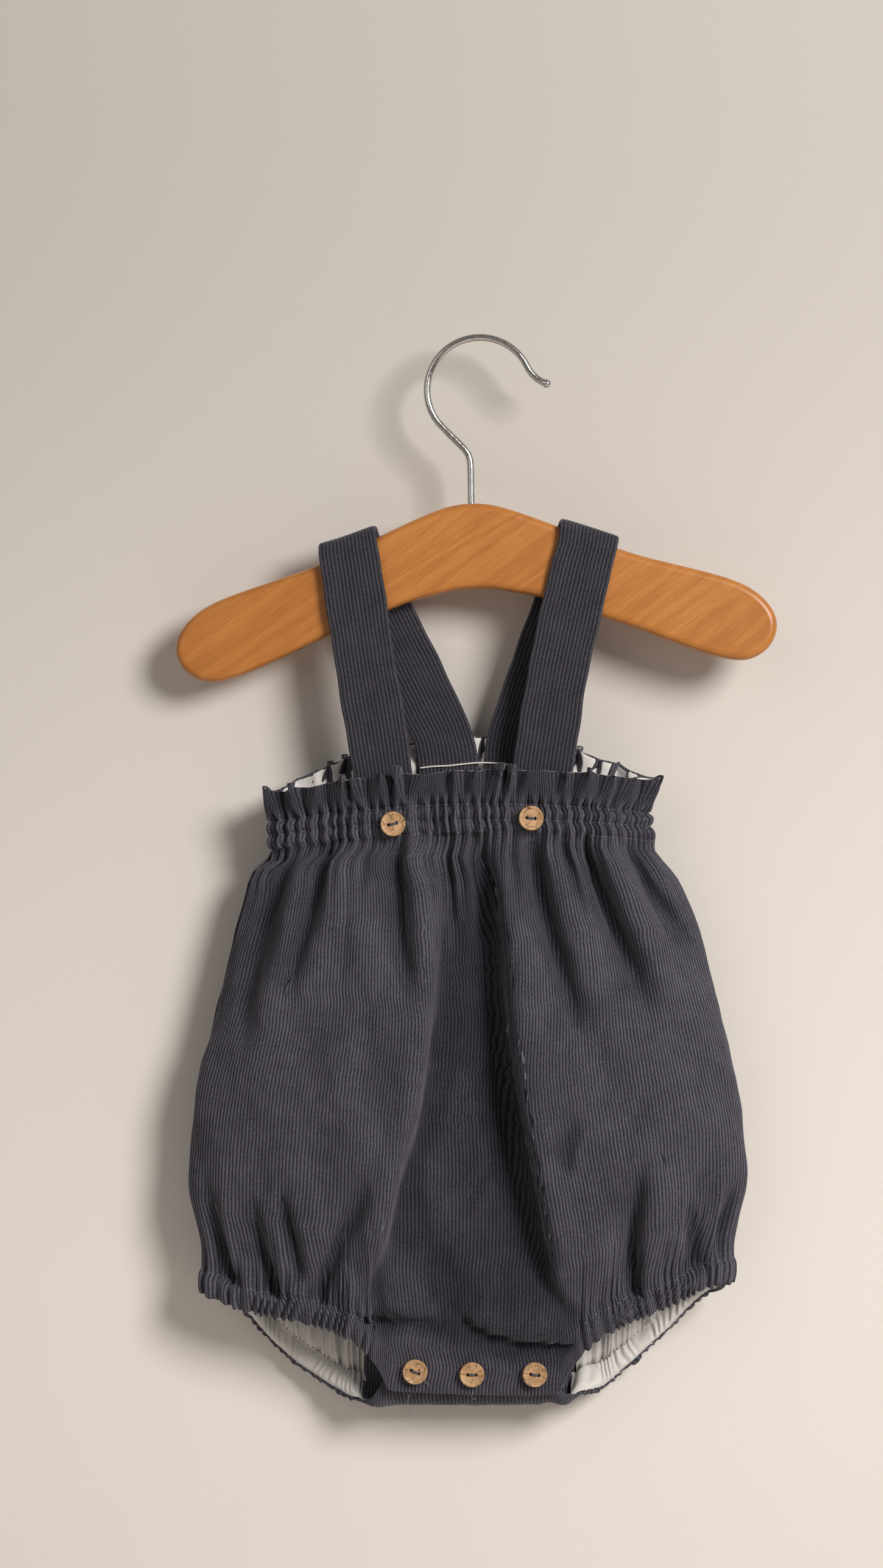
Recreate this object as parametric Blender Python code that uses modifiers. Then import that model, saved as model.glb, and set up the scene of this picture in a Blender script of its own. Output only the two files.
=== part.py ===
"""Baby's corduroy bubble romper with button-on straps, hanging on a wooden hanger.

Lengths are in millimetres until a mesh is made. X runs to the viewer's right, Y away from the
viewer and Z up. The origin is at the inside top of the hanger's hook.
"""
import math

import bpy
import bmesh
import numpy as np
from mathutils import Vector

MM = 0.001

# Cloth
SEAM_GAP = 0.3
LINING_GAP = 0.4
PANEL_WALL = 1.5
CORNER_THINNING = 0.5
CORNER_SHIFT = 0.006
HEM_WALL = 1.7
LINING_WALL = 1.0
STRAP_WALL = 2.4
STRAP_WIDTH = 29.0
STRAP_ROUNDING = 0.5
FRONT_GATHERS = 36
BACK_GATHERS = 24
FRONT_LEG_GATHERS = 18
BACK_LEG_GATHERS = 12
WAIST_GATHER_HEIGHT = 1.5
LEG_GATHER_HEIGHT = 1.2
CHANNEL_PUFF = 0.9
FRONT_RUFFLE_WAVES = 22
BACK_RUFFLE_WAVES = 18
RUFFLE_WAVE_HEIGHT = 1.7
SEAM_FADE = 0.02
LEG_CORNER_FADE = 0.03
CORNER_REACH = 0.05
FINE_COLUMNS = 400
NORMAL_STEP = 1e-3
NORMAL_REACH = 0.02
NORMAL_FOLD_SHARE = 0.35
NORMAL_SEAM_REACH = 0.012

# How the widths of the gathers vary: size, turns along the row, shift
GATHER_WANDER = ((0.30, 3.3, 1.0), (0.22, 7.7, 2.0))

# Share of a fold's height that its middle keeps, and where on the side profile folds fade in
FOLD_MIDDLE = 0.75
FOLD_LINE_STEPS = 25
FOLD_FADE = (0.12, 0.6)

# Levels that a row of the cloth can be at, from the ruffle edge down to the hem. The second
# stitch row is halfway between the first and the third.
EDGE = 0.0
STITCH_1 = 1.0
STITCH_3 = 3.0
CASING = 4.0
HEM = 5.0

# Hanger
BOARD_THICKNESS = 13.0
BOARD_ROUNDING = 3.5
BOARD_CENTRE_X = -7.7
BOARD_ROLL = math.radians(2.3)
BOARD_YAW = math.radians(3.0)
WIRE_RADIUS = 1.75
BALL_RADIUS = 2.2
HOOK_ARC_STEPS = 24
STEM_HOLE_RADIUS = 2.1
STEM_DEPTH = 14.0

# Buttons
BUTTON_RADIUS = 6.0
BUTTON_THICKNESS = 2.4
BUTTON_RIM = 0.5
BUTTON_HOLE_RADIUS = 0.85
BUTTON_HOLE_SPACING = 3.8
BUTTON_STEPS = 18
BUTTON_CLEARANCE = 4.5

# Waist rows of the front: level, left x and z, middle z, right x and z, depth of the bulge
FRONT_WAIST = (
    # level   left x   left z    mid z  right x  right z  depth
    (0.0,    -103.0,  -217.9,  -206.5,   86.7,  -211.8,  17.0),
    (0.5,    -103.0,  -225.7,  -215.9,   84.7,  -220.7,  15.6),
    (1.0,    -100.6,  -233.1,  -224.5,   81.7,  -228.9,  14.0),
    (1.5,    -101.5,  -236.3,  -228.3,   83.2,  -232.2,  14.6),
    (2.0,    -100.9,  -239.8,  -232.2,   82.6,  -235.4,  14.0),
    (2.5,    -101.2,  -243.4,  -235.0,   84.0,  -239.0,  14.6),
    (3.0,    -100.3,  -246.9,  -238.0,   84.7,  -242.5,  14.0),
)
BACK_WAIST = (
    (0.0,    -103.0,  -217.9,  -190.0,   86.7,  -211.8,  17.0),
    (0.5,    -103.0,  -225.7,  -197.9,   84.7,  -220.7,  15.6),
    (1.0,    -100.6,  -233.1,  -205.2,   81.7,  -228.9,  14.0),
    (1.5,    -101.5,  -236.3,  -208.9,   83.2,  -232.2,  14.6),
    (2.0,    -100.9,  -239.8,  -212.6,   82.6,  -235.4,  14.0),
    (2.5,    -101.2,  -243.4,  -216.3,   84.0,  -239.0,  14.6),
    (3.0,    -100.3,  -246.9,  -220.0,   84.7,  -242.5,  14.0),
)

# Side outline and bulge of the body at each height
BODY_OUTLINE = (
    # height  left x  right x  front  back
    (-238.0, -100.3,    84.7,   14.0,  14.0),
    (-246.9, -100.8,    86.0,   14.5,  14.5),
    (-252.2, -105.6,    89.4,   15.5,  15.0),
    (-259.6, -111.2,    95.6,   17.0,  16.0),
    (-271.4, -114.2,   101.2,   19.0,  17.0),
    (-289.1, -119.2,   108.0,   21.5,  18.0),
    (-306.8, -123.3,   112.0,   24.0,  19.5),
    (-324.5, -127.4,   116.5,   26.0,  20.5),
    (-342.2, -132.2,   120.8,   28.0,  21.0),
    (-359.9, -136.3,   124.6,   29.5,  21.5),
    (-377.6, -138.7,   127.8,   30.0,  22.0),
    (-395.3, -140.1,   129.0,   30.0,  22.0),
    (-413.0, -140.7,   129.8,   29.0,  22.0),
    (-427.8, -139.8,   130.1,   27.5,  21.5),
    (-439.5, -136.9,   127.0,   26.0,  21.0),
    (-448.4, -135.0,   124.4,   24.5,  21.0),
    (-461.7, -135.2,   123.4,   22.5,  20.5),
    (-480.0, -135.2,   123.4,   18.0,  20.0),
    (-496.0, -135.2,   123.4,   14.5,  19.0),
    (-515.0, -135.2,   123.4,   14.0,  18.0),
)

# Front: the casing seam and the hem below it, from the left side seam to the right one
FRONT_HEM = (
    # across  seam x   seam z    hem x    hem z
    (0.000,  -134.9,  -448.6,  -135.2,  -460.6),
    (0.060,  -117.5,  -455.6,  -117.0,  -466.6),
    (0.120,   -98.4,  -460.0,  -101.8,  -470.2),
    (0.175,   -84.0,  -462.4,   -88.6,  -472.6),
    (0.235,   -70.0,  -465.6,   -73.0,  -476.4),
    (0.290,   -60.0,  -469.4,   -62.7,  -481.4),
    (0.330,   -51.3,  -476.0,   -53.6,  -489.0),
    (0.360,   -46.0,  -482.6,   -47.5,  -498.5),
    (0.380,   -41.5,  -486.6,   -43.2,  -506.2),
    (0.410,   -30.5,  -489.0,   -31.0,  -507.2),
    (0.500,    -4.5,  -490.4,    -4.5,  -508.2),
    (0.590,    25.5,  -489.0,    25.0,  -508.8),
    (0.620,    37.5,  -484.6,    37.0,  -508.0),
    (0.640,    42.0,  -479.4,    42.6,  -498.6),
    (0.670,    48.8,  -474.0,    50.9,  -487.3),
    (0.710,    58.5,  -467.4,    61.5,  -478.6),
    (0.765,    71.0,  -461.4,    73.5,  -472.6),
    (0.825,    84.5,  -456.0,    86.5,  -467.6),
    (0.880,    97.0,  -450.2,    98.0,  -462.0),
    (0.940,   110.5,  -445.2,   111.0,  -457.0),
    (1.000,   123.6,  -443.6,   123.2,  -455.6),
)

# Back: the casing seam, the hem, and how far the cloth between them hangs below both
BACK_HEM = (
    # across  seam x   seam y   seam z    hem x   hem y    hem z   drop
    (0.000,  -134.9,     0.0,  -448.6,  -135.2,    0.0,  -460.6,    0.0),
    (0.060,  -119.0,    14.5,  -458.0,  -117.6,   13.0,  -471.0,    0.0),
    (0.120,  -104.0,    19.0,  -472.6,  -104.5,   17.5,  -485.5,    0.0),
    (0.180,   -90.0,    20.5,  -484.4,   -93.6,   19.0,  -495.8,    0.0),
    (0.240,   -78.0,    20.0,  -492.6,   -83.6,   17.0,  -503.2,    0.0),
    (0.300,   -67.5,    18.0,  -498.6,   -70.6,   12.0,  -510.7,    2.0),
    (0.342,   -60.5,    15.8,  -501.2,   -61.0,    4.5,  -514.0,    6.0),
    (0.370,   -53.0,    13.8,  -502.6,   -53.4,   -5.0,  -512.0,   10.0),
    (0.390,   -47.5,    13.0,  -503.0,   -47.4,   -9.2,  -504.0,   18.0),
    (0.420,   -38.0,    12.6,  -503.0,   -37.0,  -10.1,  -492.5,   24.0),
    (0.500,    -4.5,    12.6,  -503.0,    -4.5,  -10.2,  -491.0,   25.0),
    (0.580,    28.0,    12.6,  -503.0,    27.5,  -10.1,  -492.5,   24.0),
    (0.604,    34.0,    13.0,  -503.0,    33.6,   -9.4,  -500.0,   18.0),
    (0.636,    43.0,    14.0,  -502.6,    42.6,   -5.0,  -509.5,   12.0),
    (0.672,    53.2,    16.8,  -500.0,    54.0,    5.6,  -511.2,    3.0),
    (0.700,    57.5,    18.0,  -498.0,    59.0,   12.0,  -510.6,    2.0),
    (0.760,    68.5,    20.0,  -490.6,    72.0,   17.0,  -501.4,    0.0),
    (0.820,    79.0,    20.5,  -482.4,    82.0,   19.0,  -492.6,    0.0),
    (0.880,    91.5,    19.0,  -470.6,    93.5,   17.5,  -482.0,    0.0),
    (0.940,   107.0,    14.5,  -455.6,   108.0,   13.0,  -467.0,    0.0),
    (1.000,   123.6,     0.0,  -443.6,   123.2,    0.0,  -455.6,    0.0),
)

# Column of each hem table that holds the casing seam's height, front and back
SEAM_HEIGHT_COLUMN = (2, 3)
BODY_ROUNDNESS = 2.6

# Edges of the sunken middle panel of the front
PANEL_EDGES = (
    # height  left x  right x  sunk by
    (-240.0,   -19.5,    2.0,     0.0),
    (-256.0,   -19.5,    3.0,     1.5),
    (-280.0,   -18.6,    4.5,     4.0),
    (-308.8,   -19.5,    6.7,     6.0),
    (-337.9,   -23.2,    9.8,     7.5),
    (-362.0,   -26.1,   13.5,     8.0),
    (-393.4,   -35.1,   17.6,     8.0),
    (-415.7,   -39.5,   22.0,     7.0),
    (-433.4,   -43.8,   26.0,     5.5),
    (-455.5,   -50.2,   35.0,     3.0),
    (-470.0,   -55.0,   46.0,     1.0),
    (-486.0,   -58.0,   52.0,     0.0),
)
PANEL_EDGE_SOFTNESS = 3.2

# Folds of the front: four points down the line, height (minus for a trough), reach to each side
# of the line, and how much of the height is left at the start and the end
FRONT_FOLDS = (
    # x1      z1       x2      z2       x3      z3       x4      z4    height  left  right start  end
    (-94.7, -252.5, -102.2, -280.1, -109.2, -311.2, -113.5, -342.5,  -4.0,   7.0,   5.0,  0.8,  0.0),
    (-70.0, -254.0,  -78.1, -280.1,  -83.9, -295.5,  -93.5, -316.0,  -4.5,   6.0,   5.0,  1.0,  0.0),
    (-84.0, -254.0,  -92.0, -280.0,  -98.5, -305.0, -104.5, -332.0,   3.5,   6.0,   7.0,  0.7,  0.0),
    (-58.0, -252.0,  -58.0, -285.0,  -62.0, -325.0,  -70.0, -380.0,   3.0,   9.0,   9.0,  0.6,  0.0),
    (-38.0, -246.0,  -36.6, -273.4,  -35.7, -293.7,  -34.0, -320.0,  -3.6,   4.5,   5.5,  1.0,  0.0),
    (-26.0, -248.0,  -26.5, -300.0,  -31.0, -365.0,  -52.0, -440.0,   3.6,   9.0,   5.5,  0.6,  0.3),
    (-13.9, -243.0,  -13.9, -258.0,  -13.6, -272.0,  -13.1, -286.0,  -3.4,   2.6,   2.6,  1.0,  0.0),
    ( -7.0, -246.0,   -6.6, -262.0,   -6.0, -278.0,   -5.0, -296.0,   2.6,   3.0,   3.0,  0.8,  0.0),
    (  2.5, -243.0,    4.2, -275.0,   10.5, -338.0,   24.5, -430.0,  -4.6,   4.0,   3.2,  0.9,  0.1),
    ( 12.0, -246.0,   14.5, -290.0,   21.0, -350.0,   35.0, -436.0,   4.6,   5.5,  10.0,  0.6,  0.5),
    ( 29.3, -247.0,   34.6, -277.2,   43.6, -312.6,   50.0, -343.4,  -4.2,   4.5,   5.5,  1.0,  0.0),
    ( 42.0, -248.0,   48.0, -280.0,   57.0, -315.0,   65.0, -350.0,   3.0,   6.0,   6.0,  0.8,  0.0),
    ( 54.9, -246.0,   64.2, -272.0,   74.3, -298.4,   82.5, -328.0,  -4.0,   4.5,   5.5,  1.0,  0.0),
    ( 66.0, -250.0,   75.0, -276.0,   86.0, -305.0,   94.0, -335.0,   2.8,   5.0,   6.0,  0.8,  0.0),
    ( 75.1, -252.0,   82.3, -267.0,   88.2, -276.3,   92.7, -285.3,  -2.2,   4.0,   4.0,  0.8,  0.0),
    ( 77.8, -392.0,   76.1, -417.2,   74.6, -435.5,   76.4, -458.0,  -4.0,   8.0,   3.6,  0.0,  1.0),
    ( 87.0, -392.0,   86.0, -417.0,   85.0, -435.0,   86.0, -455.0,   3.2,   5.0,   7.0,  0.0,  0.8),
    ( 45.6, -380.0,   42.7, -388.1,   41.2, -393.9,   44.7, -403.0,  -1.6,   4.0,   4.0,  0.3,  0.0),
    (-131.5, -416.0, -127.8, -431.7, -124.3, -443.3, -122.2, -452.0, -3.2,   4.5,   4.5,  0.0,  1.0),
    (-108.3, -419.0, -105.7, -434.6, -102.5, -444.7,  -99.0, -457.0, -3.4,   4.5,   4.5,  0.0,  1.0),
    (-94.7, -413.0,  -92.3, -423.0,  -90.0, -430.0,  -86.0, -446.0,  -2.8,   4.0,   4.0,  0.0,  0.4),
    (-52.8, -405.0,  -61.8, -424.4,  -70.6, -437.8,  -78.8, -461.0,  -4.0,   5.5,   4.5,  0.0,  1.0),
    (105.7, -420.0,  105.4, -431.7,  105.1, -438.9,  104.8, -450.0,  -3.2,   5.0,   5.0,  0.0,  1.0),
    (124.0, -415.0,  121.1, -423.0,  118.2, -428.8,  116.7, -440.0,  -2.4,   4.0,   4.0,  0.2,  0.3),
    ( 95.0, -425.0,   95.0, -435.0,   94.5, -442.0,   94.0, -452.0,   2.6,   4.5,   4.5,  0.0,  0.8),
    (-56.0, -467.0,  -43.0, -466.0,  -28.5, -466.5,  -15.1, -472.0,   2.6,   4.5,   4.0,  0.6,  0.3),
    (-56.0, -474.5,  -43.0, -473.3,  -28.5, -474.0,  -15.1, -479.0,  -2.4,   3.5,   3.0,  0.6,  0.4),
    (-8.4, -463.5,    2.6, -471.0,   19.5, -476.0,   38.0, -479.0,    3.2,   4.5,   4.0,  0.5,  0.2),
    (-6.4, -470.5,    2.6, -479.0,   19.5, -483.6,   34.0, -486.0,   -2.2,   3.4,   3.4,  0.6,  0.2),
)

# Folds of the back, which the photo doesn't show: similar and plainer
BACK_FOLDS = (
    (-70.0, -240.0,  -76.0, -285.0,  -80.0, -330.0,  -84.0, -380.0,  -4.0,   6.0,   7.0,  1.0,  0.0),
    (-36.0, -232.0,  -38.0, -285.0,  -40.0, -345.0,  -42.0, -410.0,  -4.6,   6.0,   8.0,  1.0,  0.1),
    ( -6.0, -228.0,   -5.0, -290.0,   -4.0, -360.0,   -2.0, -440.0,  -5.0,   7.0,   7.0,  0.9,  0.1),
    ( 26.0, -230.0,   30.0, -285.0,   34.0, -345.0,   38.0, -405.0,  -4.6,   8.0,   6.0,  1.0,  0.1),
    ( 58.0, -238.0,   66.0, -280.0,   72.0, -325.0,   76.0, -372.0,  -4.0,   7.0,   6.0,  1.0,  0.0),
    (-54.0, -236.0,  -58.0, -290.0,  -62.0, -350.0,  -66.0, -420.0,   3.0,   9.0,   9.0,  0.7,  0.2),
    (-20.0, -232.0,  -21.0, -290.0,  -22.0, -350.0,  -24.0, -430.0,   3.0,   8.0,   8.0,  0.7,  0.2),
    ( 10.0, -232.0,   12.0, -290.0,   16.0, -350.0,   20.0, -430.0,   3.0,   8.0,   8.0,  0.7,  0.2),
    ( 42.0, -236.0,   48.0, -290.0,   54.0, -350.0,   58.0, -420.0,   3.0,   9.0,   9.0,  0.7,  0.2),
    (-98.0, -420.0,  -96.0, -440.0,  -94.0, -458.0,  -92.0, -476.0,  -3.4,   5.0,   5.0,  0.0,  1.0),
    (-68.0, -430.0,  -69.0, -452.0,  -70.0, -470.0,  -72.0, -490.0,  -3.4,   5.0,   5.0,  0.0,  1.0),
    ( 62.0, -430.0,   62.0, -452.0,   62.0, -470.0,   62.0, -488.0,  -3.4,   5.0,   5.0,  0.0,  1.0),
    ( 92.0, -415.0,   90.0, -435.0,   88.0, -452.0,   86.0, -472.0,  -3.4,   5.0,   5.0,  0.0,  1.0),
)

# Rows of each panel: level, columns outside, columns inside
FRONT_ROWS = (
    # level  outside  inside
    (0.00,      88,     88),
    (0.50,      88,     88),
    (1.00,     108,     72),
    (1.50,     108,      0),
    (2.00,     108,     54),
    (2.50,     108,      0),
    (3.00,     108,    108),
    (3.09,     108,    108),
    (3.19,      66,     66),
    (3.29,      66,     66),
    (3.40,      66,     66),
    (3.52,      66,     66),
    (3.64,      66,     66),
    (3.76,      66,     66),
    (3.87,      66,     66),
    (3.95,      66,     66),
    (4.00,     122,     66),
    (4.50,     122,      0),
    (5.00,     122,     66),
)
BACK_ROWS = (
    (0.00,      72,     72),
    (0.50,      72,     72),
    (1.00,      72,     60),
    (1.50,      72,      0),
    (2.00,      72,     46),
    (2.50,      72,      0),
    (3.00,      72,     46),
    (3.08,      72,     46),
    (3.20,      46,     46),
    (3.38,      46,     46),
    (3.56,      46,     46),
    (3.74,      46,     46),
    (3.89,      46,     46),
    (4.00,      76,     76),
    (4.30,      76,     76),
    (4.55,      76,     76),
    (4.78,      76,     76),
    (5.00,      76,     76),
)

# Linings: rows of the panel that they lie on, as level and columns, and rows of their free side
FRONT_FACING_ROWS = ((0.0, 88), (0.5, 88), (1.0, 72), (2.0, 54), (3.0, 54))
FRONT_FACING_FREE = ((0.0, 88), (0.5, 88), (1.0, 54), (3.0, 40))
BACK_FACING_ROWS = ((0.0, 72), (0.5, 72), (1.0, 60), (2.0, 46), (3.0, 46))
BACK_FACING_FREE = ((0.0, 72), (0.5, 72), (1.0, 46), (3.0, 36))
LEG_LINING_ROWS = (
    (3.56, 46), (3.74, 46), (3.89, 46), (4.0, 76), (4.3, 76), (4.55, 76), (4.78, 76), (5.0, 76),
)
LEG_LINING_FREE = ((3.56, 16), (3.78, 16), (3.93, 42), (4.4, 42), (5.0, 42))
LEG_LINING_GATHERS = 14
LEG_LINING_REACH = ((0.03, 0.335), (0.668, 0.97))
LINING_SET_BACK = 0.15
FULL_WIDTH = (0.0, 1.0)

# Where the leg openings end across each panel, and a start for each panel's uneven gathers
LEG_REACH = (0.345, 0.655)
FRONT_SEED = 0.7
BACK_SEED = 2.1

# Straps: middle of the strap at each place, and how far its right edge is turned up in degrees
STRAP_LEFT = (
    # place       x       y        z     turn
    ("waist",   -43.0,   -7.8,  -246.0,   4.0),
    ("button",  -44.4,   -7.8,  -226.0,   7.0),
    ("edge",    -46.4,   -8.2,  -211.0,   8.0),
    ("front",   -50.0,   -9.0,  -187.0,   8.5),
    ("front",   -54.1,   -8.8,  -163.4,   9.0),
    ("front",   -58.3,   -8.2,  -135.0,  10.0),
    ("front",   -62.0,   -7.6,  -110.0,  13.5),
    ("rise",    -63.2,   -7.2,  -102.5,  16.0),
    ("rise",    -63.7,   -5.4,   -97.2,  18.0),
    ("top",     -63.8,   -1.6,   -94.9,  19.5),
    ("top",     -63.4,    5.0,   -94.9,  20.0),
    ("fall",    -62.7,    9.2,   -97.4,  21.0),
    ("fall",    -61.0,   11.2,  -102.0,  22.0),
    ("back",    -56.0,   11.3,  -112.0,  24.0),
    ("back",    -44.2,   11.2,  -136.0,  25.0),
    ("back",    -33.5,   10.6,  -158.0,  25.0),
    ("back",    -23.6,    9.8,  -178.5,  22.0),
    ("bend",    -18.0,    9.2,  -190.5,  13.0),
    ("bend",    -15.6,    8.9,  -200.5,   4.0),
    ("end",     -15.0,    8.9,  -208.0,   1.0),
    ("end",     -14.8,    8.9,  -218.0,   0.0),
)
STRAP_RIGHT = (
    ("waist",    28.0,   -7.6,  -243.0,  -3.0),
    ("button",   28.6,   -7.6,  -226.0,  -6.0),
    ("edge",     30.3,   -8.0,  -209.0,  -8.0),
    ("front",    33.6,   -9.0,  -187.0,  -9.0),
    ("front",    37.4,  -10.2,  -163.4,  -9.5),
    ("front",    43.4,  -11.2,  -135.0, -11.5),
    ("front",    50.0,  -12.3,  -107.0, -14.5),
    ("rise",     51.8,  -12.6,  -100.5, -16.5),
    ("rise",     52.8,  -11.2,   -94.2, -17.5),
    ("top",      53.0,   -7.6,   -91.9, -18.0),
    ("top",      52.8,   -0.8,   -91.9, -18.5),
    ("fall",     51.8,    4.0,   -94.4, -19.0),
    ("fall",     50.3,    5.8,  -100.0, -19.5),
    ("back",     46.5,    6.0,  -111.0, -20.5),
    ("back",     38.0,    6.6,  -136.0, -20.5),
    ("back",     30.0,    7.4,  -158.0, -20.0),
    ("back",     22.8,    8.4,  -178.5, -17.0),
    ("bend",     18.8,    8.9,  -192.0,  -9.0),
    ("bend",     17.4,    8.9,  -201.0,  -3.0),
    ("end",      17.0,    8.9,  -208.0,  -1.0),
    ("end",      16.8,    8.9,  -218.0,   0.0),
)

# Half of the hanger board's outline, from its middle to its end
BOARD_HALF = (
    # out      top     bottom
    (0.0,     -78.9,  -120.0),
    (10.0,    -79.9,  -120.6),
    (20.0,    -82.9,  -122.6),
    (32.0,    -87.6,  -125.4),
    (48.0,    -94.4,  -131.1),
    (64.0,   -101.0,  -137.2),
    (80.0,   -107.2,  -143.4),
    (96.0,   -112.0,  -150.2),
    (112.0,  -116.7,  -156.5),
    (124.0,  -120.8,  -159.6),
)
BOARD_END = ((133.0, -125.3), (140.5, -131.8), (145.0, -139.8), (144.8, -148.0),
             (140.4, -155.0), (132.6, -159.4))

# Middle line of the hook's wire below its arc, and the arc itself
HOOK_ARC_CENTRE = (0.3, -23.9)
HOOK_ARC_RADIUS = 25.6
HOOK_ARC_START = math.radians(217.0)
HOOK_ARC_END = math.radians(24.0)
HOOK_NECK = ((-16.3, -43.4), (-12.9, -46.8), (-9.8, -49.8), (-7.1, -52.6), (-5.3, -55.2),
             (-4.4, -58.2), (-4.1, -62.6), (-3.9, -79.0))
HOOK_TIP = ((25.5, -16.0), (27.9, -18.3), (30.0, -19.6))
HOOK_BALL_CENTRE = (32.5, -20.7)

# Buttons: middle x and z, turn of the line through the holes in degrees
BUTTONS = (
    ("button_waist_left",    -41.6,  -233.9,   13.0),
    ("button_waist_right",    24.6,  -231.1,   -5.0),
    ("button_crotch_left",   -31.0,  -496.6,  -25.0),
    ("button_crotch_middle",  -3.7,  -498.0,    0.0),
    ("button_crotch_right",   26.4,  -498.0,   -8.0),
)

COLOURS = {
    "corduroy": (0.042, 0.045, 0.060, 0.95),
    "lining": (0.62, 0.60, 0.57, 0.9),
    "wood": (0.45, 0.20, 0.065, 0.45),
    "chrome": (0.60, 0.60, 0.60, 0.12),
    "shell": (0.36, 0.22, 0.11, 0.6),
}


def curve_through(table, key, column, at):
    """Read a column of a table at any key, smoothly between its rows."""
    keys = np.array([row[key] for row in table], float)
    values = np.array([row[column] for row in table], float)
    if keys[0] > keys[-1]:
        keys = keys[::-1]
        values = values[::-1]
    at = np.clip(np.asarray(at, float), keys[0], keys[-1])
    steps = np.diff(keys)
    slopes = np.diff(values) / steps
    tangents = np.empty_like(values)
    tangents[0] = slopes[0]
    tangents[-1] = slopes[-1]
    same_way = slopes[:-1] * slopes[1:] > 0
    mean = 2 * slopes[:-1] * slopes[1:] / np.where(same_way, slopes[:-1] + slopes[1:], 1.0)
    tangents[1:-1] = np.where(same_way, mean, 0.0)
    index = np.clip(np.searchsorted(keys, at, side="right") - 1, 0, len(steps) - 1)
    step = steps[index]
    part = (at - keys[index]) / step
    return ((1 + 2 * part) * (1 - part) ** 2 * values[index]
            + part * (1 - part) ** 2 * step * tangents[index]
            + part ** 2 * (3 - 2 * part) * values[index + 1]
            + part ** 2 * (part - 1) * step * tangents[index + 1])


def ease(value, start, end):
    """Go smoothly from 0 at the start to 1 at the end."""
    part = np.clip((value - start) / (end - start), 0.0, 1.0)
    return part * part * (3 - 2 * part)


def fold_heights(folds, x, z):
    """Add up the troughs and ridges of a fold table at each place of the cloth."""
    total = np.zeros_like(x)
    for fold in folds:
        line = np.array(fold[:8]).reshape(4, 2)
        height, left, right, start, end = fold[8:]
        along = np.linspace(0, 1, FOLD_LINE_STEPS)
        knots = np.linspace(0, 1, 4)
        fit_x = np.polyfit(knots, line[:, 0], 3)
        fit_z = np.polyfit(knots, line[:, 1], 3)
        line_x = np.polyval(fit_x, along)
        line_z = np.polyval(fit_z, along)
        away = (x[:, None] - line_x) ** 2 + (z[:, None] - line_z) ** 2
        near = np.argmin(away, axis=1)
        distance = np.sqrt(away[np.arange(len(x)), near])
        way_x = np.gradient(line_x)[near]
        way_z = np.gradient(line_z)[near]
        side = way_x * (z - line_z[near]) - way_z * (x - line_x[near])
        reach = np.where(side < 0, left, right)
        if line[0, 1] - line[3, 1] > abs(line[0, 0] - line[3, 0]):
            reach = np.where(x < line_x[near], left, right)
        share = start + (end - start) * along[near]
        middle = 1 - (2 * along[near] - 1) ** 4
        strength = share * (1 - middle) + middle * np.maximum(share, FOLD_MIDDLE)
        total += height * strength * np.exp(-(distance / reach) ** 2)
    return total


def side_profile(x, left, right, power):
    """How much of the full bulge there is across the body, 0 at both side seams."""
    across = np.clip((2 * x - left - right) / (right - left), -1, 1)
    return np.sqrt(np.clip(1 - np.abs(across) ** power, 0, 1))


def waist_row(table, across, level):
    """Points of a waist row, from the left side seam to the right one."""
    left_x, left_z, mid_z, right_x, right_z, depth = (
        curve_through(table, 0, column, level) for column in range(1, 7))
    x = left_x + (right_x - left_x) * across
    lift = 2 * across - 1
    z = mid_z + (left_z - mid_z) * (lift - 1) * lift / 2 + (right_z - mid_z) * (lift + 1) * lift / 2
    return x, depth * side_profile(x, left_x, right_x, 3.0), z


def body_spread(across, level, table, waist):
    """Place a body row between the waist and the casing seam, inside the side outline."""
    seam_x = curve_through(table, 0, 1, across)
    seam_z = curve_through(table, 0, SEAM_HEIGHT_COLUMN[table is BACK_HEM], across)
    down = level - STITCH_3
    top_x, _, top_z = waist_row(waist, across, STITCH_3)
    z = top_z + (seam_z - top_z) * down
    first = table[0][1]
    last = table[-1][1]
    spread = across + ((seam_x - first) / (last - first) - across) * ease(down, 0, 1)
    left = curve_through(BODY_OUTLINE, 0, 1, z)
    right = curve_through(BODY_OUTLINE, 0, 2, z)
    start = ease(down, 0.0, 0.05)
    end = ease(down, 0.8, 1.0)
    x = left + (right - left) * spread
    x = top_x * (1 - start) + x * start
    return x * (1 - end) + seam_x * end, z, spread


def standing_out(x, z, spread, column, folds, share):
    """How far the body stands out on one side, with its folds."""
    profile = np.sqrt(np.clip(1 - np.abs(2 * spread - 1) ** BODY_ROUNDNESS, 0, 1))
    depth = curve_through(BODY_OUTLINE, 0, column, z) * profile
    return depth + share * folds * ease(profile, *FOLD_FADE)


def front_folds(x, z):
    """Folds of the front and its sunken middle panel."""
    edge_left = curve_through(PANEL_EDGES, 0, 1, z)
    edge_right = curve_through(PANEL_EDGES, 0, 2, z)
    sunk = curve_through(PANEL_EDGES, 0, 3, z)
    inside = 0.5 * (np.tanh((x - edge_left) / PANEL_EDGE_SOFTNESS)
                    - np.tanh((x - edge_right) / PANEL_EDGE_SOFTNESS))
    return fold_heights(FRONT_FOLDS, x, z) - sunk * inside


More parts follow.
